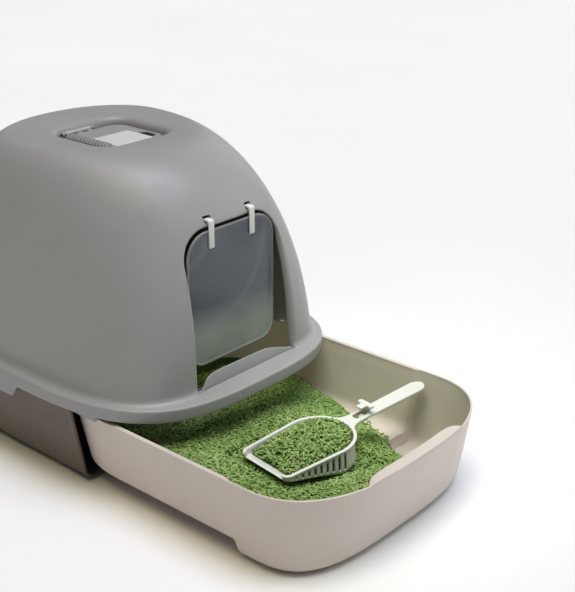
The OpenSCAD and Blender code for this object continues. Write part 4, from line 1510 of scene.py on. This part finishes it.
def build_strap(s, node):
    yo_, yi = HY - HR - 2.0, HY - HR
    arc = lambda cy, cz, r, a0, a1, n: [(cy + r * math.cos(math.radians(t)), cz + r * math.sin(math.radians(t))) for t in np.linspace(a0, a1, n)]
    zb = 307.7
    prof = [(yi, zb + .5), (yi, HZ)] + arc(HY, HZ, HR, 180, 0, 28)[1:] + [(HY + HR, HZ - 1.5)]
    prof += [(HY + HR + .5, HZ - 2.0), (HY + HR + 1.3, HZ - 2.0), (HY + HR + 1.8, HZ - 1.4), (HY + HR + 1.8, HZ + 2.6)]
    prof += arc(HY + HR + 1.8 - 4.6, HZ + HR + 2.3 - 4.6, 4.6, 0, 90, 10)
    prof += arc(yo_ + 3.6, HZ + HR + 2.3 - 3.6, 3.6, 90, 180, 10)
    prof += [(yo_, zb + .9), (yo_ + .3, zb + .25), (yo_ + .9, zb)]
    prof += [(yi - .5, zb)]
    P = np.array(prof)
    # thin the profile a little near both side faces, so that the edges are rounded
    tg = np.roll(P, -1, 0) - np.roll(P, 1, 0)
    tg /= np.linalg.norm(tg, axis=1)[:, None]
    nn = np.column_stack([-tg[:, 1], tg[:, 0]])
    area = 0.5 * np.sum(P[:, 0] * np.roll(P[:, 1], -1) - np.roll(P[:, 0], -1) * P[:, 1])
    if area < 0:
        nn = -nn
    rows = []
    for x, o in ((-4.5, .42), (-4.42, .2), (-4.2, .06), (-3.9, 0), (3.9, 0), (4.2, .06), (4.42, .2), (4.5, .42)):
        Q = P + nn * o
        rows.append([(s * 36.7 + x, y, z) for y, z in Q])
    V, F = stack(rows)
    o = solid_obj("strap", V, F)
    trim = prism(rrect(s * 36.7 - 4.6, s * 36.7 + 4.6, zb - .05, 360, 2.0, 8), 45, 80, "y")
    boolean(o, [trim], "INTERSECT")
    return adopt(o, node + "_fine", M["white"], "flap", (node,), 35)


build_strap(-1, "flap_strap_left")
build_strap(1, "flap_strap_right")


def build_studs():
    S = Shell()
    for s in (-1, 1):
        for z in (324.5, 312.5):
            prof = [(0.01, HY - HR - .9), (1.3, HY - HR - .9), (1.42, HY - HR - .7), (1.42, FY1 + .1), (2.6, FY1 + .1), (2.95, FY1 + .3), (3.0, FY1 + .6),
                    (2.8, FY1 + .95), (2.3, FY1 + 1.2), (1.2, FY1 + 1.25), (0.01, FY1 + 1.25)]
            G = [[(s * 36.7 + r * math.cos(a), y, z + r * math.sin(a)) for a in np.linspace(0, 2 * math.pi, 33)[:-1]] for r, y in prof]
            S.grid(np.array(G), closed=True)
            S.ngon(G[0])
            S.ngon(G[-1], flip=True)
    return S.build("studs", M["white"], "flap", ("flap_studs",), angle=35, weld=0.004)


build_studs()


# ------------------------------------------------------------------ roof vent

LZ = 396.3
LTOP = LZ + 9.3
LHY, LHZ = 328.0, 405.5


def build_lid():
    o = pillow(-54, 50, 220, 321, LZ, LTOP, 20, 1.6, k=14, foot=0.3)
    cav = pillow(-52, 48, 222, 319, LZ - 2, LTOP - 2.2, 18, 1.0, k=12, foot=0.2)
    hole = rrect(27, 43, 232, 260, 7.9, 14)
    cuts = [cav]
    fins = []
    turn = math.radians(20)
    n = 14
    for i in range(n):
        cy = 232 + i * 77 / (n - 1)

        def place(P, cy=cy, lean=0.30):
            P = np.asarray(P, float)
            u, v, z = P[..., 0], P[..., 1], P[..., 2]
            # ribs bow toward the rear and lean a little with height
            v2 = v + 0.016 * (70 - u ** 2) - 0.6 + (z - LTOP) * lean
            return np.stack([-44.5 + u * math.cos(turn) - v2 * math.sin(turn), cy + u * math.sin(turn) + v2 * math.cos(turn), z], -1)
        us = np.linspace(-8.8, 9.2, 19)
        tops = 0.6 + 4.6 * np.sqrt(np.clip(1 - ((us - 3.5) / 13.0) ** 2, 0.0, 1)) * np.where(us > 5.5, 1 - 0.055 * (us - 5.5) ** 2, 1)
        rows = []
        for f, t in ((0.0, 1.0), (0.55, 0.95), (0.82, 0.85), (0.93, 0.62), (1.0, 0.22)):
            up = [(u, -t, LTOP - 0.6 + (h + .6) * f) for u, h in zip(us, tops)]
            lo = [(u, t, LTOP - 0.6 + (h + .6) * f) for u, h in zip(us[::-1], tops[::-1])]
            rows.append(up + lo)
        V, F = stack(rows)
        fins.append(solid_obj("fin", V, F, place))
        if i < n - 1:
            def place2(P, cy=cy + 77 / (n - 1) / 2):
                P = np.asarray(P, float)
                u, v = P[..., 0], P[..., 1]
                v2 = v + 0.016 * (70 - u ** 2) - 0.6
                return np.stack([-44.5 + u * math.cos(turn) - v2 * math.sin(turn), cy + u * math.sin(turn) + v2 * math.cos(turn), P[..., 2]], -1)
            us2 = np.linspace(-7.0, 7.0, 9)
            pts = [(u, -1.45) for u in us2] + [(u, 1.45) for u in us2[::-1]]
            cuts.append(prism(pts, LTOP - 4, LTOP + 3, "z", place2))
    boolean(o, cuts, "DIFFERENCE")
    # low curb round the finger hole
    curb = []
    for q, z in ((2.2, -.6), (2.0, .12), (1.5, .42), (.8, .5), (.3, .42), (.05, .2), (0.02, -.6)):
        curb.append([(x, y, LTOP + z) for x, y in rrect(27 - q, 43 + q, 232 - q, 260 + q, 7.9 + q, 14)])
    V, F = stack(curb)
    ring = solid_obj("curb", V, F)
    rows = []
    for x, r in ((-39, 2.9), (-38.7, 3.35), (-38.2, 3.6), (4.2, 3.6), (4.7, 3.35), (5, 2.9)):
        rows.append([(x, LHY + r * math.cos(a), LHZ + r * math.sin(a)) for a in np.linspace(0, 2 * math.pi, 49)[:-1]])
    V, F = stack(rows)
    kn = solid_obj("knuckle", V, F)
    webs = [pillow(a, b_, 318.5, LHY - 1.5, LTOP - 2.2, LTOP - .02, 0.6, 0.4) for a, b_ in ((-38.4, -31.0), (-20.0, -13.0), (-3.0, 4.4))]
    boolean(o, fins + [ring, kn] + webs, "UNION")
    cuts = [prism([(LHY + 1.55 * math.cos(a), LHZ + 1.55 * math.sin(a)) for a in np.linspace(0, 2 * math.pi, 33)[:-1]], -60, 20, "x"),
            prism(rrect(-33.2, 31.2, 227.8, 281.2, 4.0, 8), LTOP - 1.0, LTOP + 4, "z"),
            prism(hole, LZ - 2, LTOP + 6, "z")]
    boolean(o, cuts, "DIFFERENCE")
    o = adopt(o, "lid", M["lid"], "vent", ("vent_lid",), 35)
    # the top of the hinge barrel gets a paler grey, a painted highlight
    o.data.materials.append(M["barrel"])
    for f in o.data.polygons:
        if f.center.y / MM - YO > LHY - 3.75 and f.center.z / MM > LTOP - 0.4:
            f.material_index = 1
    return o


build_lid()


def build_cap():
    o = pillow(-33, 31, 228, 281, LTOP - .95, LTOP + .8, 4.0, 0.7, k=10, domed=0.12, foot=0.1)
    return adopt(o, "cap", M["plate"], "vent", ("filter_cap",), 35)


build_cap()


def build_bracket():
    parts = []
    for xa in (-44.5, 5.5):
        rows = []
        for x, r in ((xa, 2.9), (xa + .3, 3.35), (xa + .8, 3.6), (xa + 4.2, 3.6), (xa + 4.7, 3.35), (xa + 5, 2.9)):
            sec = [(x, LHY + r * math.cos(a), LHZ + r * math.sin(a)) for a in np.linspace(0, math.pi, 25)]
            b = 396.0
            d = 3.6 - r
            sec += [(x, LHY - 3.2 + d, LHZ - 3), (x, LHY - 3.2 + d, b + 1.6), (x, LHY - 3.6 + d, b + .02), (x, LHY + 3.6 - d, b + .02), (x, LHY + 3.2 - d, b + 1.6), (x, LHY + 3.2 - d, LHZ - 3)]
            rows.append(sec)
        V, F = stack(rows)
        parts.append(solid_obj("ear", V, F))
    o = parts[0]
    bore = prism([(LHY + 1.55 * math.cos(a), LHZ + 1.55 * math.sin(a)) for a in np.linspace(0, 2 * math.pi, 33)[:-1]], -49.5, 20, "x")
    boolean(o, [parts[1]], "UNION")
    boolean(o, [bore], "DIFFERENCE")
    return adopt(o, "bracket", M["hood"], "hood", ("vent_hinge_bracket",), 35)


build_bracket()


def paint_cad():
    for node, key in (("anti_slip_pads", "rubber"), ("filter_pad", "foam"), ("vent_hinge_pin", "pin"), ("scooped_litter", "bed")):
        o = bpy.data.objects.get(node)
        if o is None:
            continue
        o.data.materials.clear()
        o.data.materials.append(M[key])


paint_cad()


# ------------------------------------------------------------------ stage

def stage_floor():
    m, nt, b, v = new_mat("studio_floor")
    n1 = noise(nt, v, 2.0, 3.0, 0.5)
    n2 = noise(nt, v, 260.0, 2.0, 0.6)
    col = ramp(nt, n1, [(0.3, (0.865, 0.855, 0.84)), (0.7, (0.89, 0.88, 0.865))])
    nt.links.new(col, b.inputs["Base Color"])
    nt.links.new(span(nt, n2, 0.3, 0.7, 0.62, 0.75), b.inputs["Roughness"])
    b.inputs["Specular IOR Level"].default_value = 0.2
    bump(nt, b, n2, 0.05, 0.0003)
    n = 24
    g = np.linspace(-1, 1, n + 1)
    g = np.sign(g) * np.abs(g) ** 2.2 * 14
    V = [(a, b_, -0.0002) for a in g for b_ in g]
    F = [(i * (n + 1) + k, (i + 1) * (n + 1) + k, (i + 1) * (n + 1) + k + 1, i * (n + 1) + k + 1) for i in range(n) for k in range(n)]
    me = bpy.data.meshes.new("studio_floor")
    me.from_pydata(V, [], F)
    me.validate()
    me.shade_smooth()
    o = bpy.data.objects.new("studio_floor", me)
    bpy.context.scene.collection.objects.link(o)
    me.materials.append(m)


stage_floor()


def area_light(name, loc, aim, size, power, color=(1, 1, 1), size_y=None):
    L = bpy.data.lights.new(name, "AREA")
    L.energy = power
    L.color = color
    L.size = size
    if size_y:
        L.shape = "RECTANGLE"
        L.size_y = size_y
    o = bpy.data.objects.new(name, L)
    bpy.context.scene.collection.objects.link(o)
    o.location = loc
    o.rotation_euler = (Vector(aim) - Vector(loc)).to_track_quat("-Z", "Y").to_euler()
    return o


def sun(name, toward, level, angle, color=(1, 1, 1)):
    """large soft light whose rays come from the direction given"""
    L = bpy.data.lights.new(name, "SUN")
    L.energy = level * math.pi
    L.angle = math.radians(angle)
    L.color = color
    o = bpy.data.objects.new(name, L)
    bpy.context.scene.collection.objects.link(o)
    o.rotation_euler = Vector(toward).to_track_quat("Z", "Y").to_euler()
    o.location = Vector(toward) * 3
    return o


def toward(az, el):
    a, e = math.radians(az), math.radians(el)
    return (math.sin(a) * math.cos(e), -math.cos(a) * math.cos(e), math.sin(e))


sun("top_cool", toward(30, 78), 0.50, 36, (0.88, 0.93, 1.18))
sun("top_warm", toward(-90, 78), 0.30, 36, (1.10, 0.95, 0.50))
sun("top_back", toward(150, 78), 0.13, 36, (0.88, 0.95, 1.2))
sun("right_low", toward(62, 19), 0.10, 36, (1.12, 1.0, 0.86))
sun("right_back", toward(110, 18), 0.08, 36, (1.0, 0.97, 1.0))
sun("front_right", toward(36, 48), 0.08, 36, (0.75, 1.1, 1.0))
fill = area_light("drawer_fill", (-0.08, -0.42, 0.62), (0.16, -0.31, 0.09), 0.26, 0.22, (0.88, 1.0, 0.86))
fill.data.spread = math.radians(62)
fill.visible_camera = False
glow = area_light("doorway_glow", (-0.02, -0.13, 0.27), (0.10, -0.13, 0.10), 0.10, 0.029, (1.0, 0.97, 0.62))
glow.data.spread = math.radians(100)
glow.visible_camera = False
glow.visible_glossy = False

world = bpy.data.worlds.new("studio_air")
bpy.context.scene.world = world
world.use_nodes = True
bg = world.node_tree.nodes.get("Background")
bg.inputs[0].default_value = (0.93, 0.96, 1.0, 1)
bg.inputs[1].default_value = 0.12
# the camera itself sees the studio as white beyond the floor's edge
wnt = world.node_tree
lp = wnt.nodes.new("ShaderNodeLightPath")
white = wnt.nodes.new("ShaderNodeBackground")
white.inputs["Color"].default_value = (0.985, 0.985, 0.985, 1)
white.inputs["Strength"].default_value = 0.93
wmix = wnt.nodes.new("ShaderNodeMixShader")
wnt.links.new(lp.outputs["Is Camera Ray"], wmix.inputs[0])
wnt.links.new(bg.outputs[0], wmix.inputs[1])
wnt.links.new(white.outputs[0], wmix.inputs[2])
wnt.links.new(wmix.outputs[0], wnt.nodes["World Output"].inputs["Surface"])

cam = bpy.data.cameras.new("camera")
cam.lens = 72.04
cam.sensor_width = 36.0
cam.sensor_fit = "AUTO"
cam.clip_end = 100
co = bpy.data.objects.new("camera", cam)
bpy.context.scene.collection.objects.link(co)
A, E = math.radians(-48.8), math.radians(22.5)
back = Vector((math.sin(A) * math.cos(E), -math.cos(A) * math.cos(E), math.sin(E)))
right = Vector((math.cos(A), math.sin(A), 0.0))
up = back.cross(right)
co.matrix_world = Matrix(((right.x, up.x, back.x, -1.0137), (right.y, up.y, back.y, -1.1718), (right.z, up.z, back.z, 0.8155), (0, 0, 0, 1)))
bpy.context.scene.camera = co
bpy.context.scene.view_settings.view_transform = "Standard"
